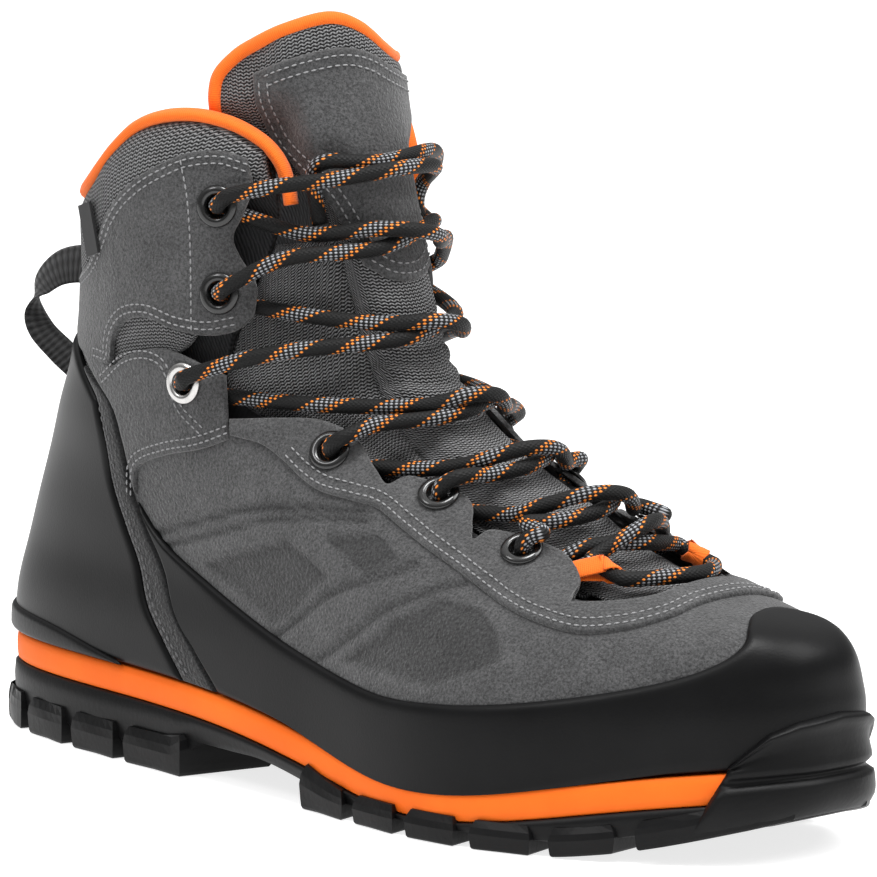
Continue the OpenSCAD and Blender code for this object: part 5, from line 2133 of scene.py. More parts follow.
    def lugs(self) -> bpy.types.Object:
        """Every tread block.

        Returns:
            The joined blocks.
        """
        points, faces, count = [], [], 0
        blocks = []
        for start, end, lean, reach in (
            (-146.5, -127, 3, 13), (-122, -103, 4, 13), (-98, -78, 5, 12), (-73, -47, 6, 10), (6, 25, -6, 24),
            (30, 47, -6, 24), (52, 69, -6, 24), (74, 91, -6, 23), (96, 112, -5, 20), (117, 147, -4, 4),
        ):
            for side in Side:
                blocks.append(self.side_lug(start, end, lean, reach, side))
        blocks.append(np.array([[-143, -9], [-126, -9], [-120, 0], [-126, 9], [-143, 9]], float))
        for x in (18, 42, 66, 90):
            blocks.append(
                np.array(
                    [[x - 7, -15], [x + 2, -13], [x + 9, 0], [x + 2, 13], [x - 7, 15], [x - 1, 0]], float
                )
            )
        for outline in blocks:
            p, f = self.lug(outline)
            points.append(p)
            faces += [tuple(i + count for i in face) for face in f]
            count += len(p)
        made = add_mesh("tread_lugs", np.concatenate(points), faces, np.zeros((count, 2)))
        mesh = bmesh.new()
        mesh.from_mesh(made.data)
        bmesh.ops.recalc_face_normals(mesh, faces=mesh.faces)
        mesh.to_mesh(made.data)
        mesh.free()
        made.data.polygons.foreach_set("use_smooth", [False] * len(made.data.polygons))
        return made

    def bumper(self) -> bpy.types.Object:
        """Rubber bumper that climbs from the tread over the toe, with a pressed groove.

        Returns:
            The bumper.
        """
        u = np.linspace(0, 1, 81)
        v = np.array([
            0, 0.02, 0.05, 0.1, 0.16, 0.22, 0.27, 0.31, 0.34, 0.37, 0.4, 0.43, 0.46,
            0.5, 0.55, 0.6, 0.66, 0.72, 0.78, 0.83, 0.88, 0.92, 0.95, 0.975, 0.99, 1.0,
        ])
        crown = [
            (0, 0.06), (0.07, 0.3), (0.16, 0.55), (0.3, 0.7), (0.5, 0.78),
            (0.7, 0.7), (0.84, 0.55), (0.93, 0.3), (1, 0.06),
        ]
        t_top = np.interp(u, [c[0] for c in crown], [c[1] for c in crown])
        proud = np.interp(
            v,
            [0, 0.03, 0.12, 0.26, 0.32, 0.345, 0.37, 0.39, 0.43, 0.5, 0.7, 0.84, 0.9, 0.95, 0.98, 1.0],
            [1.8, 3.0, 4.6, 4.3, 3.9, 2.3, 1.5, 2.5, 3.5, 3.2, 2.4, 2.5, 3.4, 3.6, 3.0, 1.5],
        )
        outer, inner = [], []
        for j, share in enumerate(v):
            half = 31 - 7.5 * min(share / 0.45, 1.0)
            phi = 180 + (2 * u - 1) * half
            end_fade = rolled(np.minimum(u, 1 - u) * 60, 2.2)
            for target, d in ((outer, 1.3 + (proud[j] - 1.3) * end_fade), (inner, np.full(len(u), 0.9))):
                if share <= 0.45:
                    xy = LAST.sole_edge(phi, d)
                    x = xy[:, 0] - LAST.centre[0]
                    low, high = self.ground(x) + 0.2, self.edge_height(x)
                    target.append(np.column_stack([xy, low + (high - low) * share / 0.45]))
                else:
                    k = (share - 0.45) / 0.55
                    t = FLOOR + (t_top - FLOOR) * k
                    p = LAST.off(phi, t, d)
                    flat = np.column_stack([LAST.sole_edge(phi, d), LAST.point(phi, t)[:, 2]])
                    w = smooth(k, 0, 0.35)[..., None] if np.ndim(k) else float(smooth(k, 0, 0.35))
                    target.append(flat * (1 - w) + p * w)
        rows, cols = len(v), len(u)
        half = rows * cols
        faces = grid_faces(rows, cols) + grid_faces(rows, cols, half, True)
        for i in range(cols - 1):
            faces.append((i, i + 1, half + i + 1, half + i))
            top = (rows - 1) * cols
            faces.append((top + i, half + top + i, half + top + i + 1, top + i + 1))
        for j in range(rows - 1):
            a, b = j * cols, (j + 1) * cols
            faces.append((a, half + a, half + b, b))
            faces.append((a + cols - 1, b + cols - 1, half + b + cols - 1, half + a + cols - 1))
        made = add_mesh("toe_bumper_rubber", np.concatenate(outer + inner), faces)
        if signed_volume(made) < 0:
            made.data.flip_normals()
        return made

    def build(self, finishes: dict[str, bpy.types.Material]) -> None:
        """Makes and dresses the sole.

        Args:
            finishes: materials by the name of their finish.
        """
        settle(self.foam(), finishes["foam"], "midsole_foam", ("midsole",))
        tread = joined("tread", [self.slab_piece(), self.lugs()])
        settle(tread, finishes["tread"], "tread_rubber", ("outsole",))
        settle(self.bumper(), finishes["tread"], "tread_rubber", ("toe_bumper",))
        lip = CutPiece(
            round_back([(0, 0.02), (20, 0.02), (40, 0.02), (58, 0.02)]),
            round_back([(0, 0.6), (20, 0.58), (40, 0.48), (57, 0.1)]),
            3.0, 1.5, pitch=1.5, roll=2.2,
        ).build("heel_lip_rubber")
        settle(lip, finishes["tread"], "tread_rubber", ("heel_lip",))


@dataclass
class Upper:
    """Leather, knit and rubber pieces of the upper, with the lining."""

    panel: float = 1.0
    panel_in: float = -0.4
    base: float = -0.35
    seams: Stitching = field(default_factory=Stitching)

    def figures(self) -> Relief:
        """Pressed figures on the vamp: plain grooves and sunk fields.

        Returns:
            The figures.
        """
        return Relief(
            grooves=[
                (TWIN_TOP, 0.9, 0.9), (TWIN_LOW, 0.9, 0.8), (RAY_BACK, 1.0, 0.85), (RAY_FRONT, 1.0, 0.85),
            ],
            fields=[(border, -0.75) for border in SUNK_FIELDS],
        )

    def grooves_of_pull(self) -> Relief:
        """Shallow stretch folds of the knit quarter.

        Returns:
            The folds.
        """
        return Relief(grooves=[([(70, 6.3), (85, 6.55), (98, 6.45)], 1.6, 0.6)])

    def eyelet_holes(self) -> bpy.types.Object:
        """Cutters for the eyelet holes.

        Returns:
            The joined cutters.
        """
        parts = []
        for side in Side:
            for row in range(1, 7):
                phi, t = eyelet_spot(row, side)
                place = LAST.point(phi, t)[0]
                out = LAST.normal(phi, t)[0]
                path = np.stack([place - out * 4, place + out * 4])
                parts.append(tube(f"cutter_{side.name}_{row}", path, (3.45, 3.45), count=24))
        return joined("eyelet_cutters", parts)

    def bored(self, piece: bpy.types.Object, cutter: bpy.types.Object) -> bpy.types.Object:
        """Cuts the eyelet holes through a piece.

        Args:
            piece: the mesh object.
            cutter: the joined cutters.

        Returns:
            The piece.
        """
        step = piece.modifiers.new("Eyelet holes", "BOOLEAN")
        step.operation, step.object, step.solver = "DIFFERENCE", cutter, "EXACT"
        bpy.context.view_layer.objects.active = piece
        bpy.ops.object.modifier_apply(modifier=step.name)
        return piece

    def build(self, finishes: dict[str, bpy.types.Material]) -> None:
        """Makes and dresses the upper.

        Args:
            finishes: materials by the name of their finish.
        """
        out, low = self.panel, self.panel_in
        vamp = CutPiece(
            round_front(CUT.base_low), round_front(CUT.base_high), self.base, -1.9,
            [(62, FLOOR), (62, 3.8)], [(298, FLOOR), (298, 3.8)], pitch=1.05, roll=0.6,
        ).build("vamp_suede", relief=self.both_sides(self.figures()))
        settle(vamp, finishes["suede"], "grey_suede", ("vamp",))
        heel = CutPiece(
            [(-61.4, FLOOR), (0, FLOOR), (61.4, FLOOR)], [(-61.4, 3.48), (0, 3.48), (61.4, 3.48)],
            -0.9, -2.6, pitch=4,
        ).build("heel_quarter_suede")
        settle(heel, finishes["dark_suede"], "dark_suede", ("heel_quarter",))
        for side in Side:
            name = side.name.lower()
            tag = "lateral" if side is Side.OUTER else "medial"
            knit_piece = CutPiece(
                CUT.quarter_low, CUT.quarter_high, -0.7, -2.4,
                [(1, 3.55), (1, 7.1)], CUT.quarter_front, pitch=1.6,
            ).build(f"quarter_knit_{name}", side, self.grooves_of_pull())
            settle(knit_piece, finishes["dark_knit"], "dark_mesh", (f"quarter_{tag}",))
        self.collar(finishes)
        cutter = self.eyelet_holes()
        for side in Side:
            name = side.name.lower()
            tag = "lateral" if side is Side.OUTER else "medial"
            cuff = CutPiece(
                CUT.cuff_low, CUT.cuff_high, out, low, [(1, 6.55), (1, 7.05)], CUT.cuff_front, pitch=1.2
            ).build(f"cuff_suede_{name}", side)
            settle(self.bored(cuff, cutter), finishes["suede"], "grey_suede", (f"cuff_{tag}",))
            ankle = CutPiece(
                CUT.ankle_low, CUT.ankle_high, out, low, CUT.ankle_back, CUT.ankle_front, pitch=1.2
            ).build(f"ankle_suede_{name}", side)
            settle(self.bored(ankle, cutter), finishes["suede"], "grey_suede", (f"ankle_{tag}",))
            trim = CutPiece(
                [(p[0] + 0.2, p[1]) for p in CUT.cover_edge] + [(51, 5.95)],
                [(p[0], p[1]) for p in CUT.trim_edge] + [(57.5, 5.78)], 1.15, -0.3, pitch=1.1, roll=0.9,
            ).build(f"heel_trim_{name}", side)
            settle(trim, finishes["dark_suede"], "dark_suede", (f"heel_trim_{tag}",))
        stay = CutPiece(
            round_front(CUT.stay_low), round_front(CUT.stay_high), out, low, pitch=1.1
        ).build("eyestay_suede")
        settle(self.bored(stay, cutter), finishes["suede"], "grey_suede", ("eyestay",))
        bpy.data.objects.remove(cutter)
        back = [(76.5, FLOOR), (72, 0.75), (66.5, 1.75), (64.6, 3.45)]
        rand = CutPiece(
            round_front(CUT.rand_low), round_front(CUT.rand_top), 1.35, -0.6, back, mirrored(back),
            pitch=1.5, roll=3.2, hem=0.35,
        ).build("rand_rubber")
        settle(rand, finishes["rand"], "rand_rubber", ("rand",))
        cover = CutPiece(
            round_back([(0, 0.1), (18, 0.1), (36, 0.1), (52, 0.06), (62, 0.04), (70, FLOOR)]),
            round_back([(0, 6.45), (18, 6.42), (34, 6.3), (46, 6.05), (55, 5.7), (60, 5.4)]), 1.7, -0.4,
            [(-p[0], p[1]) for p in CUT.cover_edge], CUT.cover_edge, pitch=1.7, roll=2.6, hem=0.45,
        ).build("heel_cover_rubber")
        settle(cover, finishes["rand"], "rand_rubber", ("heel_cover",))
        self.stitch(finishes)
        self.lining(finishes)

    def both_sides(self, relief: Relief) -> Relief:
        """The same figures on both halves of the boot.

        Args:
            relief: figures of the outer side.

        Returns:
            The relief, with its mirror image.
        """
        relief.grooves += [(mirrored(b), w, d) for b, w, d in list(relief.grooves)]
        relief.fields += [(mirrored(b), d) for b, d in list(relief.fields)]
        return relief

    def collar(self, finishes: dict[str, bpy.types.Material]) -> None:
        """Padded collar and its rolled binding.

        Args:
            finishes: materials by the name of their finish.
        """
        piece = CutPiece(round_back(CUT.pad_low), round_back(CUT.pad_high), -0.6, -5.4, pitch=1.4, roll=1.6)
        spots = piece.spots()
        share = rolled(edge_distance(spots), 7.0)
        outer = -2.2 + 2.7 * share
        pad = shell("collar_pad_knit", spots, outer, np.full(spots.shape[:2], -5.4))
        settle(pad, finishes["grey_knit"], "grey_mesh", ("collar_pad",))
        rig.padded(pad, fill=0.7)
        line = even(round_back(CUT.rim), 260)
        path = LAST.off(line[:, 0], line[:, 1], -3.9)
        roll = tube("collar_binding_tape", path, (3.9, 1.9), LAST.normal(line[:, 0], line[:, 1]), 20)
        settle(roll, finishes["orange"], "orange_binding", ("collar_binding",))

    def lining(self, finishes: dict[str, bpy.types.Material]) -> None:
        """Lining bootee: a foot and a padded shaft.

        Args:
            finishes: materials by the name of their finish.
        """
        rows, cols = 40, 144
        phi, t = np.meshgrid(np.arange(cols) * 360 / cols, np.linspace(FLOOR, 3.12, rows))
        outer = -3.9 - 2.2 * smooth(t, 2.1, 3.3)
        foot = shell("lining_foot_cloth", np.stack([phi, t], -1), outer, outer - 2.0, True)
        settle(foot, finishes["lining"], "lining_fabric", ("lining_foot",))
        low = round_back([(0, 3.12), (40, 3.12), (80, 3.12), (115, 3.12), (143, 3.12)])
        high = round_back([
            (0, 8.12), (15, 8.14), (30, 8.18), (45, 8.24), (58, 8.33), (68, 8.46), (78, 8.62), (88, 8.76),
            (98, 8.8),
            (108, 8.76), (117, 8.66), (124, 8.52), (129.5, 8.4),
        ])
        spots = coons(
            low, high, [(-p[0], p[1]) for p in CUT.throat], CUT.throat,
            np.linspace(0, 1, 140), np.linspace(0, 1, 90),
        )
        outer = -3.9 - 2.2 * smooth(spots[..., 1], 2.1, 3.3)
        puff = 2.2 * smooth(spots[..., 1], 6.0, 7.2) * (1 - smooth(spots[..., 1], 8.0, 8.5))
        shaft = shell("lining_shaft_cloth", spots, outer, outer - 2.0 - puff)
        settle(shaft, finishes["lining"], "lining_fabric", ("lining_shaft",))
        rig.padded(shaft, fill=0.5)

    def stitch(self, finishes: dict[str, bpy.types.Material]) -> None:
        """Seams in light thread on the suede, and dark ones on the heel trim.

        Args:
            finishes: materials by the name of their finish.
        """
        stay = round_front(CUT.stay_low)[2:-2]
        for step in (1.6, 4.1):
            self.seams.sew(inset(stay, step, 400), self.panel + 0.12)
        for side in Side:
            turn = (lambda b: b) if side is Side.OUTER else mirrored
            sign = -1 if side is Side.OUTER else 1
            for border, steps in (
                (CUT.cuff_high[2:], (1.7, 3.6)),
                (CUT.cuff_low[4:-1], (-1.7, -3.6)),
                (ANKLE_SEAM, (0.0, -1.9)),
                (CUT.ankle_low, (-1.5, -3.4)),
            ):
                for step in steps:
                    self.seams.sew(inset(turn(border), sign * step), self.panel + 0.12)
            for border, step in (
                ([(104, 8.44), (104.5, 8.1), (103.5, 7.6), (100.5, 6.72)], 0.0),
            ):
                self.seams.sew(inset(turn(border), step), self.panel + 0.12)
        made = self.seams.build("seams_light", finishes["light_thread"])
        settle(made, finishes["light_thread"], "grey_suede", ())
        dark = Stitching(pitch=2.6, length=1.9, radius=0.32)
        for side in Side:
            turn = (lambda b: b) if side is Side.OUTER else mirrored
            sign = -1 if side is Side.OUTER else 1
            for step in (1.9, 3.3):
                dark.sew(inset(turn([(p[0], max(p[1], 0.12)) for p in CUT.cover_edge]), -sign * -step), 1.3)
        made = dark.build("seams_dark", finishes["dark_thread"])
        settle(made, finishes["dark_thread"], "dark_suede", ())


@dataclass
class Tongue:
    """Padded tongue with its patch, binding and side gussets. It bends between the boot and its top."""

    face: float = -1.8
    bend_low: tuple[float, float, float] = (-0.004, 0.0, 0.160)
    bend_high: tuple[float, float, float] = (-0.012, 0.0, 0.184)

    def height(self, phi: np.ndarray, t: np.ndarray) -> np.ndarray:
        """Height of the tongue's face over the last: full in the middle, low at its sides.

        Args:
            phi: direction round the last in degrees, 0 at the heel and 180 at the toe.
            t: ring number, 0 at the sole edge and rising to the collar.

        Returns:
            Heights in millimetres.
        """
        side = np.abs(phi - 180)
        low = np.maximum(smooth(side, 17, 29) * (1 - smooth(t, 8.2, 8.6)), 1 - smooth(t, 3.6, 4.3))
        tucked = smooth(side, 33, 47) * smooth(t, 7.7, 8.1) * (1 - smooth(t, 8.6, 8.95))
        wrapped = smooth(side, 38, 56) * smooth(t, 8.2, 8.6)
        return self.face - 2.9 * low * (1 - tucked) - 4.2 * wrapped * (1 - tucked) - 8.4 * tucked

    def channels(self, spots: np.ndarray) -> np.ndarray:
        """Sewn channels and flex folds across the tongue's knit.

        Args:
            spots: rows by columns by direction and ring.

        Returns:
            Changes of height in millimetres.
        """
        t = spots[..., 1] + 0.0022 * (spots[..., 0] - 180)
        made = np.zeros(t.shape)
        for place, width, deep in (
            (4.9, 0.07, 0.9), (5.78, 0.07, 1.2), (6.06, 0.05, 0.9),
            (6.3, 0.05, 1.1), (6.54, 0.05, 0.9), (6.8, 0.05, 0.8),
        ):
            made -= deep * np.exp(-(((t - place) / width) ** 2))
        return made * (1 - smooth(np.abs(spots[..., 0] - 180), 24, 30))

    def sides(self) -> tuple[Border, Border]:
        """Outer side border of the tongue from toe end to top, and its mirror image.

        Returns:
            The two borders.
        """
        first = [
            (150, 3.02), (150, 4.1), (150, 5.1), (150, 6.0), (150, 6.9), (149, 7.5), (143, 7.95), (131, 8.22),
            (119, 8.42), (113, 8.7), (115, 9.1),
        ]
        return first, mirrored(first)

    def top(self) -> Border:
        """Upper border of the tongue.

        Returns:
            The border.
        """
        return [
            (115, 9.1), (121, 9.24), (128, 9.31), (140, 9.38), (158, 9.4), (176, 9.28), (193, 9.12),
            (208, 9.05), (222, 9.06), (234, 9.09), (245, 9.1),
        ]

    def blended(
        self, piece: bpy.types.Object, finish: bpy.types.Material, slot: str, nodes: tuple[str, ...]
    ) -> bpy.types.Object:
        """Dresses a piece that bends between the boot and the tongue's top.

        Args:
            piece: the mesh object.
            finish: the material.
            slot: the record's material slot.
            nodes: CAD nodes that the piece stands for.

        Returns:
            The piece.
        """
        settle(piece, finish, slot, nodes, None)
        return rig.blend(piece, Body.BOOT.value, Body.TONGUE.value, self.bend_low, self.bend_high)

    def build(self, finishes: dict[str, bpy.types.Material]) -> None:
        """Makes and dresses the tongue.

        Args:
            finishes: materials by the name of their finish.
        """
        first, last = self.sides()
        low = [(150, 3.02), (165, 3.0), (180, 3.0), (195, 3.0), (210, 3.02)]
        u, v = spread(96, 70, (0.4, 0.9, 1.6)), spread(190, 150, (0.4, 0.9, 1.6))
        spots = coons(low, self.top(), first, last, u, v)
        level = self.height(spots[..., 0], spots[..., 1])
        share = rolled(edge_distance(spots), 3.0)
        outer = level - 1.6 * (1 - share) + self.channels(spots)
        inner = np.minimum(level - 1.7, -6.4) + 0.9 * (1 - share)
        pad = shell("tongue_knit", spots, outer, inner)
        self.blended(pad, finishes["grey_knit"], "grey_mesh", ("tongue_lower", "tongue_upper"))
        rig.padded(pad, fill=0.6)
        self.patch(finishes)
        line = even([(112.5, 8.62), (113, 8.85)] + self.top() + [(247, 8.85), (247.5, 8.62)], 140)
        level = self.height(line[:, 0], line[:, 1])
        middle = (level + np.minimum(level - 1.7, -6.4)) / 2
        path = LAST.off(line[:, 0], line[:, 1], middle) + np.array([0, 0, 1.0])
        roll = tube("tongue_binding_tape", path, (2.2, 1.9), LAST.normal(line[:, 0], line[:, 1]), 16)
        settle(roll, finishes["orange"], "orange_binding", ("tongue_binding",), Body.TONGUE)
        for side in Side:
            self.gusset(side, finishes)

    def patch(self, finishes: dict[str, bpy.types.Material]) -> None:
        """Suede patch over the tongue's upper half, with two rows of stitches.

        Args:
            finishes: materials by the name of their finish.
        """
        low = [(158, 7.34), (168, 7.2), (180, 7.16), (192, 7.2), (202, 7.34)]
        high = [
            (127, 9.1), (136, 9.15), (148, 9.18), (163, 9.18), (178, 9.11),
            (193, 8.99), (208, 8.93), (222, 8.93), (233, 8.94),
        ]
        first = [(158, 7.34), (154, 7.62), (148, 7.95), (139, 8.2), (131, 8.46), (127, 8.78), (127, 9.1)]
        last = [(202, 7.34), (206, 7.62), (212, 7.95), (221, 8.2), (229, 8.44), (233, 8.72), (233, 8.94)]
        u, v = spread(90, 60, (0.15, 0.4, 0.7, 1.1)), spread(80, 60, (0.15, 0.4, 0.7, 1.1))
        spots = coons(low, high, first, last, u, v)
        level = self.height(spots[..., 0], spots[..., 1])
        share = rolled(edge_distance(spots), 0.9)
        made = shell("tongue_patch_suede", spots, level + 0.2 + 1.1 * share, level - 0.6)
        self.blended(made, finishes["suede"], "grey_suede", ("tongue_patch_lower", "tongue_patch_upper"))
        seams = Stitching()
        for step in (2.0, 4.6):
            for border, way in ((high, 1), (low, -1), (first, 1), (last, -1)):
                line = inset(border, -way * step, 120)[6:-6]
                seams.sew(line, self.height(line[:, 0], line[:, 1]) + 1.42)
        made = seams.build("tongue_patch_seams", finishes["light_thread"])
        self.blended(made, finishes["light_thread"], "grey_suede", ())

    def gusset(self, side: Side, finishes: dict[str, bpy.types.Material]) -> None:
        """Folded knit between the tongue and the eyelet flap.

        Args:
            side: outer or inner side of the boot.
            finishes: materials by the name of their finish.
        """
        edge = [
            (144.5, 3.22), (145.5, 3.6), (141.5, 4.3), (129, 5.0),
            (105, 5.8), (108, 6.4), (117, 7.1), (127, 7.6),
        ]
        middle = [(150.5, 3.22), (150.5, 7.6)]
        spots = coons(
            [edge[0], middle[0]], [edge[-1], middle[1]], edge, middle,
            np.linspace(0, 1, 40), np.linspace(0, 1, 90),
        )
        if side is Side.INNER:
            spots = np.stack([360 - spots[..., 0], spots[..., 1]], -1)
        fold = 0.7 * np.sin(np.linspace(0, 3 * np.pi, 40))[None, :] * np.ones((90, 1))
        made = shell(f"gusset_knit_{side.name.lower()}", spots, -5.9 + fold, -7.2 + fold)
        tag = "lateral" if side is Side.OUTER else "medial"
        settle(made, finishes["dark_knit"], "dark_mesh", (f"gusset_{tag}",))


@dataclass
class Lacing:
    """Eyelets, webbing loops and the round lace."""

    hole: float = 3.0
    flange: float = 5.6
    lace: float = 2.1
    loop_spot: tuple[float, float] = (156, 3.34)
    loop_lift: float = 0.2
    cross_t: tuple[float, ...] = (7.56, 6.62, 5.55, 4.68, 3.98)
    bridge_out: tuple[float, ...] = (41, 43, 52, 33, 26)
    bridge_in: tuple[float, ...] = (48, 58, 39, 26, 30)
    bridge_rise: tuple[float, ...] = (0.1, 0.22, 0.2, 0.14, 0.16)

    def spun(
        self, place: np.ndarray, axis: np.ndarray, profile: list[tuple[float, float]], count: int = 56
    ) -> tuple[np.ndarray, list]:
        """Closed profile of radius and height, spun round an axis.

        Args:
            place: centre on the axis.
            axis: direction of the axis.
            profile: radius and height of each corner.
            count: points round the axis.

        Returns:
            The points and the faces.
        """
        side = np.cross(axis, [0.0, 0.0, 1.0])
        side /= np.linalg.norm(side)
        up = np.cross(axis, side)
        turn = np.arange(count) / count * 2 * np.pi
        ring = side[None] * np.cos(turn)[:, None] + up[None] * np.sin(turn)[:, None]
        points = np.concatenate([place + axis * h + ring * r for r, h in profile])
        n = len(profile)
        faces = []
        for j in range(n):
            a, b = j * count, (j + 1) % n * count
            for i in range(count):
                k = (i + 1) % count
                faces.append((a + i, a + k, b + k, b + i))
        return points, faces

    def eyelets(self, finishes: dict[str, bpy.types.Material]) -> None:
        """Twelve rolled eyelets; the third on the outer side has a bare rim.

        Args:
            finishes: materials by the name of their finish.
        """
        profile = [
            (self.hole, -0.9), (self.hole + 0.5, -0.9), (self.hole + 0.5, 1.2), (self.flange - 0.4, 1.15),
            (self.flange, 1.3), (self.flange + 0.05, 1.55), (self.flange - 0.25, 1.9),
            (self.flange - 0.8, 2.2), (self.flange - 1.4, 2.3), (self.hole + 0.55, 2.2),
            (self.hole + 0.2, 1.85), (self.hole + 0.02, 1.3), (self.hole, 0.2),
        ]
        groups = {"enamel": [], "bare": []}
        for side in Side:
            tag = "lateral" if side is Side.OUTER else "medial"
            for row in range(1, 7):
                phi, t = eyelet_spot(row, side)
                kind = "bare" if side is Side.OUTER and row == 3 else "enamel"
                made = self.spun(LAST.point(phi, t)[0], LAST.normal(phi, t)[0], profile)
                groups[kind].append((made, f"eyelet_{tag}_{row}"))
        for kind, rings in groups.items():
            points, faces, count = [], [], 0
            for (p, f), _ in rings:
                points.append(p)
                faces += [tuple(i + count for i in face) for face in f]
                count += len(p)
            piece = add_mesh(f"eyelets_{kind}", np.concatenate(points), faces)
            if signed_volume(piece) < 0:
                piece.data.flip_normals()
            settle(piece, finishes[kind], "black_metal", tuple(n for _, n in rings))

    def loop_frame(self, side: Side) -> tuple[np.ndarray, np.ndarray, np.ndarray]:
        """Centre of a webbing loop, the way its hole runs, and the way to the middle.

        Args:
            side: outer or inner side of the boot.

        Returns:
            The centre and the two directions.
        """
        phi = self.loop_spot[0] if side is Side.OUTER else 360 - self.loop_spot[0]
        t = self.loop_spot[1]
        place = LAST.off(phi, t, self.loop_lift)[0]
        around, up = LAST.along(phi, t)
        return place, up[0] / np.linalg.norm(up[0]), around[0] / np.linalg.norm(around[0]) * side.value

    def loops(self, finishes: dict[str, bpy.types.Material]) -> None:
        """Folded tape loops that hold the lace at the toe end.

        Args:
            finishes: materials by the name of their finish.
        """
        for side in Side:
            place, axis, middle = self.loop_frame(side)
            out = np.cross(middle, axis)
            out *= np.sign(out[2])
            r = self.lace + 0.75
            turn = np.linspace(-1.9, 1.9, 25)
            path = [place - middle * 9.5 - out * (r + 0.1), place - middle * 6 - out * (r - 0.3)]
            arc = [place + middle * r * np.cos(a) + out * r * np.sin(a) for a in turn]
            back = [place - middle * 6 + out * (r - 0.9) * 0.2, place - middle * 9.5 - out * 1.6]
            line = curve_points(np.array(path + arc + back), 3)
            tape_half = (2.9, 0.55)
            name = f"lace_loop_{side.name.lower()}"
            made = tube(name, line, tape_half, np.tile(axis, (len(line), 1)), 12)
            tag = "lateral" if side is Side.OUTER else "medial"
            settle(made, finishes["orange"], "orange_binding", (f"lace_loop_{tag}",))

    def turn(self, row: int, side: Side) -> list[np.ndarray]:
        """Way of the lace through one eyelet, from outside the flap to its inside.

        Args:
            row: row of the lacing, 1 at the top.
            side: outer or inner side of the boot.

        Returns:
            Points in millimetres.
        """
        phi, t = eyelet_spot(row, side)
        p, n = LAST.point(phi, t)[0], LAST.normal(phi, t)[0]
        around, up = LAST.along(phi, t)
        middle, up = around[0] / np.linalg.norm(around[0]) * side.value, up[0] / np.linalg.norm(up[0])
        over, under = middle + up * 0.45, middle - up * 0.55
        over, under = over / np.linalg.norm(over), under / np.linalg.norm(under)
        return [
            p + n * 5.1 + over * 6.5, p + n * 4.8 + over * 3.3, p + n * 3.2 + over * 0.8, p + n * 0.4,
            p - n * 2.4 + under * 0.9, p - n * 3.35 + under * 3.8, p - n * 3.4 + under * 7.5,
        ]

    def crossing(self, row: int, side: Side, high: bool) -> list[np.ndarray]:
        """Way of the lace over the tongue between two rows.

        Args:
            row: row of the lacing, 1 at the top.
            side: outer or inner side of the boot.
            high: whether this bridge lies over the other one.

        Returns:
            Points in millimetres.
        """
        t, s = self.cross_t[row - 1], side.value
        rise = 7.4 if high else 3.0
        out, back, lift = self.bridge_out[row - 1], self.bridge_in[row - 1], self.bridge_rise[row - 1]
        spots = [
            (180 - out * s, t + lift, -1.1), (180 - 21 * s, t + 0.1, 2.3), (180 - 7 * s, t + 0.04, rise),
            (180 + 7 * s, t - 0.04, rise), (180 + 21 * s, t - 0.1, 2.7), (180 + back * s, t - lift, 3.7),
        ]
        return [LAST.off(*spot)[0] for spot in spots]

    def route(self) -> np.ndarray:
        """Whole way of the lace, from one tucked end to the other.

        Returns:
            Points in millimetres.
        """
        o, i = Side.OUTER, Side.INNER

        def off(phi: float, t: float, height: float) -> np.ndarray:
            """Point at a direction and ring, at a height over the last.

            Args:
                phi: direction round the last in degrees, 0 at the heel and 180 at the toe.
                t: ring number, 0 at the sole edge and rising to the collar.
                height: distance over the last, in millimetres.

            Returns:
                Points in millimetres.
            """
            return LAST.off(phi, t, height)[0]

        start = [off(*s) for s in (
            (143.5, 7.75, -3.3), (143.5, 8.05, -3.2), (145, 8.24, -0.4), (152, 8.28, 2.3), (168, 8.22, 2.5),
            (186, 8.24, 2.5), (206, 8.27, 3.6), (226, 8.22, 4.6),
        )]
        end = [off(*s) for s in (
            (216.5, 7.6, -3.3), (216.5, 7.85, -3.2), (214.5, 8.02, -0.4), (208, 8.08, 2.4), (194, 8.13, 7.0),
            (174, 8.14, 7.2), (156, 8.12, 4.6), (134, 8.12, 4.6),
        )]
        down, up = [], []
        for row, side in ((1, i), (2, o), (3, i), (4, o), (5, i)):
            down += self.turn(row, side) + self.crossing(row, side, row % 2 == 0)
        for row, side in ((5, o), (4, i), (3, o), (2, i), (1, o)):
            up += (self.turn(row, side) + self.crossing(row, side, row % 2 == 1))[::-1]

        def through(side: Side) -> list[np.ndarray]:
            """Through the webbing loop, from its upper end to its lower end.

            Args:
                side: outer or inner side of the boot.

            Returns:
                Points in millimetres.
            """
            p, axis, middle = self.loop_frame(side)
            return [
                p + axis * 7.8 + middle * 2.6, p + axis * 4.8 + middle * 0.3, p,
                p - axis * 4.2 + middle * 0.4, p - axis * 6 + middle * 2.8,
            ]

        low = self.turn(6, o) + [off(160, 3.62, 0.9), off(178, 3.6, 1.6)] + through(i) + [off(180, 3.2, 0.9)]
        low += through(o)[::-1] + [off(178, 3.62, 6.4), off(196, 3.66, 3.8)] + self.turn(6, i)[::-1]
        return np.array(start + down + low + up + end[::-1])

    def build(self, finishes: dict[str, bpy.types.Material]) -> None:
        """Makes and dresses the lacing.

        Args:
            finishes: materials by the name of their finish.
        """
        self.eyelets(finishes)
        self.loops(finishes)
        line = curve_points(self.route(), 6)
        for _ in range(3):
            line[1:-1] = line[:-2] * 0.25 + line[1:-1] * 0.5 + line[2:] * 0.25
        made = tube("lace_braid", line, (self.lace, self.lace), count=14)
        settle(made, finishes["lace"], "lace_braid", ("lace",))


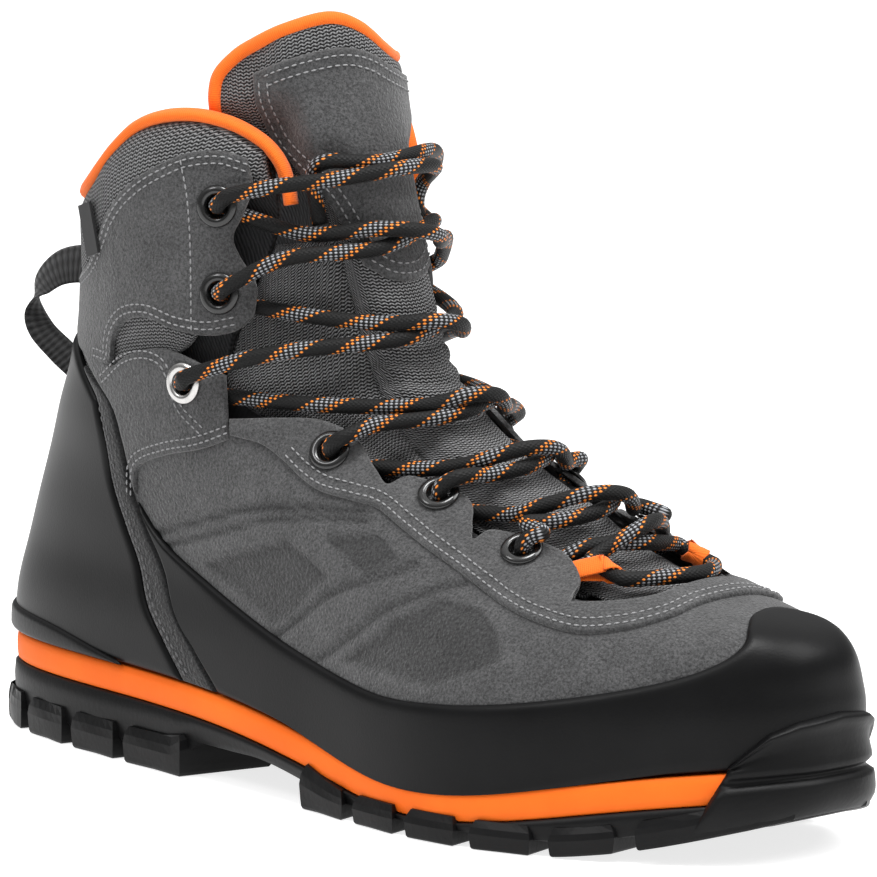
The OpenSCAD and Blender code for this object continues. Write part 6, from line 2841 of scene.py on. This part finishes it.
@dataclass
class SmallParts:
    """Pull loop and its tab."""

    width: float = 11.0
    thickness: float = 1.6

    def build(self, finishes: dict[str, bpy.types.Material]) -> None:
        """Makes and dresses the small parts.

        Args:
            finishes: materials by the name of their finish.
        """
        path = np.array([
            [-117, 0, 126], [-124, -2, 127.5], [-131, -5, 126], [-136, -7.5, 121], [-137, -9, 115],
            [-134.5, -9, 109], [-129.5, -6, 103], [-124.5, -3, 97.5],
        ]) + np.array(LAST.centre)
        wide = np.array([
            [0, 0.5, 0.87], [0, 0.45, 0.9], [-0.3, 0.4, 0.86], [-0.5, 0.5, 0.7], [-0.4, 0.8, 0.4],
            [-0.2, 0.95, 0.2], [0, 1, 0.1], [0, 1, 0],
        ])
        line = curve_points(path, 14)
        half = (self.width / 2, self.thickness / 2)
        made = tube("pull_loop_webbing", line, half, curve_points(wide, 14), 24)
        settle(made, finishes["webbing"], "black_webbing", ("pull_loop",), Body.LOOP)
        tab = CutPiece(
            [(-8, 6.75), (8, 6.75)], [(-8, 7.2), (8, 7.2)], 2.8, 0.9, pitch=0.8, roll=0.6
        ).build("loop_tab")
        settle(tab, finishes["webbing"], "black_webbing", ("loop_tabs",))


# ---------------------------------------------------------------- studio


@dataclass
class Studio:
    """Floor, lights, sky and camera."""

    azimuth: float = 45.0
    elevation: float = 9.0
    distance: float = 2.5
    lens: float = 386.0
    aim: tuple[float, float, float] = (0.0040, 0.0060, 0.0933)
    roll: float = 0.4
    floor_radius: float = 30.0
    sky_sides: float = 0.3
    sky_top: float = 1.1

    def camera(self) -> None:
        """Long-lens camera at the boot's front outer quarter."""
        a, e = math.radians(self.azimuth), math.radians(self.elevation)
        away = Vector((math.sin(a) * math.cos(e), -math.cos(a) * math.cos(e), math.sin(e)))
        lens = bpy.data.cameras.new("camera")
        lens.lens, lens.sensor_width = self.lens, 36.0
        lens.clip_start, lens.clip_end = 0.05, 60.0
        eye = bpy.data.objects.new("camera", lens)
        bpy.context.scene.collection.objects.link(eye)
        eye.location = Vector(self.aim) + away * self.distance
        turn = (-away).to_track_quat("-Z", "Y").to_matrix().to_4x4()
        spin = turn @ Matrix.Rotation(math.radians(self.roll), 4, "Z")
        eye.rotation_euler = spin.to_euler()
        bpy.context.scene.camera = eye

    def floor(self) -> None:
        """Wide pale floor."""
        mesh = bpy.data.meshes.new("floor")
        turn = np.arange(96) / 96 * 2 * np.pi
        rim = [(self.floor_radius * math.cos(a), self.floor_radius * math.sin(a), -0.0002) for a in turn]
        mesh.from_pydata(rim, [], [tuple(range(len(rim)))])
        made = bpy.data.objects.new("floor", mesh)
        bpy.context.scene.collection.objects.link(made)
        paint, tree = new_material("floor_paint", (0.9, 0.9, 0.9))
        skin = tree.nodes.new("ShaderNodeBsdfPrincipled")
        skin.label, skin.location = "Matt floor", (0, 0)
        out = tree.nodes.new("ShaderNodeOutputMaterial")
        out.label, out.location = "Surface out", (300, 0)
        skin.inputs["Base Color"].default_value = (0.5, 0.5, 0.5, 1)
        skin.inputs["Roughness"].default_value = 0.9
        skin.inputs["Specular IOR Level"].default_value = 0.1
        skin.inputs["Emission Color"].default_value = (1.0, 1.0, 1.0, 1)
        skin.inputs["Emission Strength"].default_value = 0.78
        tree.links.new(skin.outputs["BSDF"], out.inputs["Surface"])
        mesh.materials.append(paint)
        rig.stage(made)

    def sky(self) -> None:
        """Pale surroundings, dim at the horizon and bright overhead."""
        world = bpy.data.worlds.new("sky")
        world.use_nodes = True
        nodes, links = world.node_tree.nodes, world.node_tree.links
        nodes.clear()
        way = nodes.new("ShaderNodeTexCoord")
        way.label, way.location = "Direction", (-720, 0)
        split = nodes.new("ShaderNodeSeparateXYZ")
        split.label, split.location = "Height over the horizon", (-540, 0)
        ramp = nodes.new("ShaderNodeMapRange")
        ramp.label, ramp.location = "Dim sides, bright top", (-340, 0)
        glow = nodes.new("ShaderNodeBackground")
        glow.label, glow.location = "Sky", (0, 0)
        out = nodes.new("ShaderNodeOutputWorld")
        out.label, out.location = "World out", (240, 0)
        ramp.interpolation_type = "SMOOTHSTEP"
        ramp.inputs["From Min"].default_value = 0.25
        ramp.inputs["From Max"].default_value = 0.95
        ramp.inputs["To Min"].default_value = self.sky_sides
        ramp.inputs["To Max"].default_value = self.sky_top
        glow.inputs["Color"].default_value = (1.0, 1.0, 1.0, 1)
        links.new(way.outputs["Generated"], split.inputs["Vector"])
        links.new(split.outputs["Z"], ramp.inputs["Value"])
        links.new(ramp.outputs["Result"], glow.inputs["Strength"])
        links.new(glow.outputs["Background"], out.inputs["Surface"])
        bpy.context.scene.world = world

    def lamp(self, name: str, place: tuple[float, float, float], size: float, power: float) -> None:
        """Soft square lamp aimed at the boot.

        Args:
            name: object name.
            place: position in metres.
            size: side of the lamp in metres.
            power: power in watts.
        """
        light = bpy.data.lights.new(name, "AREA")
        light.size, light.energy = size, power
        made = bpy.data.objects.new(name, light)
        bpy.context.scene.collection.objects.link(made)
        made.location = place
        made.rotation_euler = (Vector((0, 0, 0.1)) - Vector(place)).to_track_quat("-Z", "Y").to_euler()

    def build(self) -> None:
        """Sets up the studio."""
        self.camera()
        self.floor()
        self.sky()
        self.lamp("key_left", (-0.7, -1.9, 2.2), 0.7, 15.0)
        self.lamp("fill_right", (1.4, 0.7, 2.0), 1.5, 40.0)
        self.lamp("top", (0.35, -0.35, 2.2), 0.7, 34.0)
        scene = bpy.context.scene
        scene.view_settings.view_transform = "Standard"
        scene.view_settings.look = "None"


# ---------------------------------------------------------------- finishes of this boot


def boot_finishes() -> dict[str, bpy.types.Material]:
    """Makes every material of the boot.

    Returns:
        Materials by the name of their finish.
    """
    return {
        "suede": suede("grey_suede", SuedeFinish((0.028, 0.028, 0.0285), (0.088, 0.088, 0.0895))),
        "dark_suede": suede("dark_suede", SuedeFinish((0.006, 0.006, 0.0063), (0.03, 0.03, 0.031))),
        "grey_knit": knit("grey_knit", KnitFinish((0.26, 0.26, 0.265), (0.003, 0.003, 0.0032))),
        "dark_knit": knit("dark_knit", KnitFinish((0.23, 0.23, 0.234), (0.003, 0.003, 0.0032))),
        "tread": moulded(
            "tread_rubber",
            MouldedFinish((0.0035, 0.0035, 0.0037), (0.007, 0.007, 0.0073), 0.42, 700, 0.0002, 0.15),
        ),
        "rand": moulded(
            "rand_rubber",
            MouldedFinish((0.0025, 0.0025, 0.0027), (0.005, 0.005, 0.0053), 0.38, 1500, 0.0001, 0.14),
        ),
        "foam": moulded(
            "midsole_foam", MouldedFinish((0.86, 0.135, 0.007), (0.92, 0.17, 0.012), 0.6, 900, 0.00015, 0.2)
        ),
        "orange": woven(
            "orange_tape", WovenFinish((0.9, 0.165, 0.01), (0.8, 0.13, 0.008), 1900, 30, 0.00006)
        ),
        "webbing": woven(
            "black_webbing", WovenFinish((0.022, 0.022, 0.023), (0.006, 0.006, 0.006), 620, 9, 0.0004)
        ),
        "lining": woven("lining_cloth", WovenFinish((0.03, 0.03, 0.032), (0.012, 0.012, 0.013), 700, 700)),
        "lace": braid(
            "lace_braid", BraidFinish((0.004, 0.004, 0.004), (0.34, 0.35, 0.37), (0.92, 0.27, 0.035))
        ),
        "enamel": metal("black_enamel", MetalFinish((0.004, 0.004, 0.004), 0.0, 0.2, 0.25)),
        "bare": metal("bare_metal", MetalFinish((0.5, 0.49, 0.48), 1.0, 0.2, 0.0)),
        "steel": metal("shank_steel", MetalFinish((0.5, 0.51, 0.52), 1.0, 0.4, 0.0)),
        "light_thread": thread("light_thread", (0.3, 0.3, 0.305)),
        "dark_thread": thread("dark_thread", (0.12, 0.12, 0.122)),
        "board": suede("insole_board", SuedeFinish((0.3, 0.24, 0.17), (0.5, 0.42, 0.3))),
        "stiffener": moulded(
            "stiffener", MouldedFinish((0.5, 0.48, 0.4), (0.6, 0.58, 0.5), 0.6, 500, 0.0002)
        ),
        "footbed": suede("footbed_felt", SuedeFinish((0.02, 0.02, 0.021), (0.05, 0.05, 0.052), 900)),
        "label": woven(
            "label_cloth", WovenFinish((0.014, 0.014, 0.015), (0.008, 0.008, 0.008), 1500, 1500, 0.0001)
        ),
    }


def dress_kept_nodes(finishes: dict[str, bpy.types.Material]) -> None:
    """Gives the CAD nodes that stay as they are a finish.

    Args:
        finishes: materials by the name of their finish.
    """
    kept = {
        "shank": "steel", "insole_board": "board", "footbed": "footbed", "toe_puff": "stiffener",
        "heel_counter": "stiffener", "side_label": "label",
    }
    for node, finish in kept.items():
        piece = frame["nodes"][node]
        piece.data.materials.clear()
        piece.data.materials.append(finishes[finish])
        LOG.info("%s keeps its CAD shape", node)


def write_sizes() -> None:
    boxes = {"cad": [list(c) for c in CAD_BOX], "visual": [list(c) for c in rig.bounds()]}
    with open("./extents.json", "w") as out:
        json.dump(boxes, out)


def main() -> None:
    """Builds the boot, piece by piece, then the studio."""
    logging.basicConfig(level=logging.INFO)
    finishes = boot_finishes()
    Studio().build()
    Sole().build(finishes)
    Upper().build(finishes)
    Tongue().build(finishes)
    Lacing().build(finishes)
    SmallParts().build(finishes)
    dress_kept_nodes(finishes)
    write_sizes()


if __name__ == "__main__":
    main()
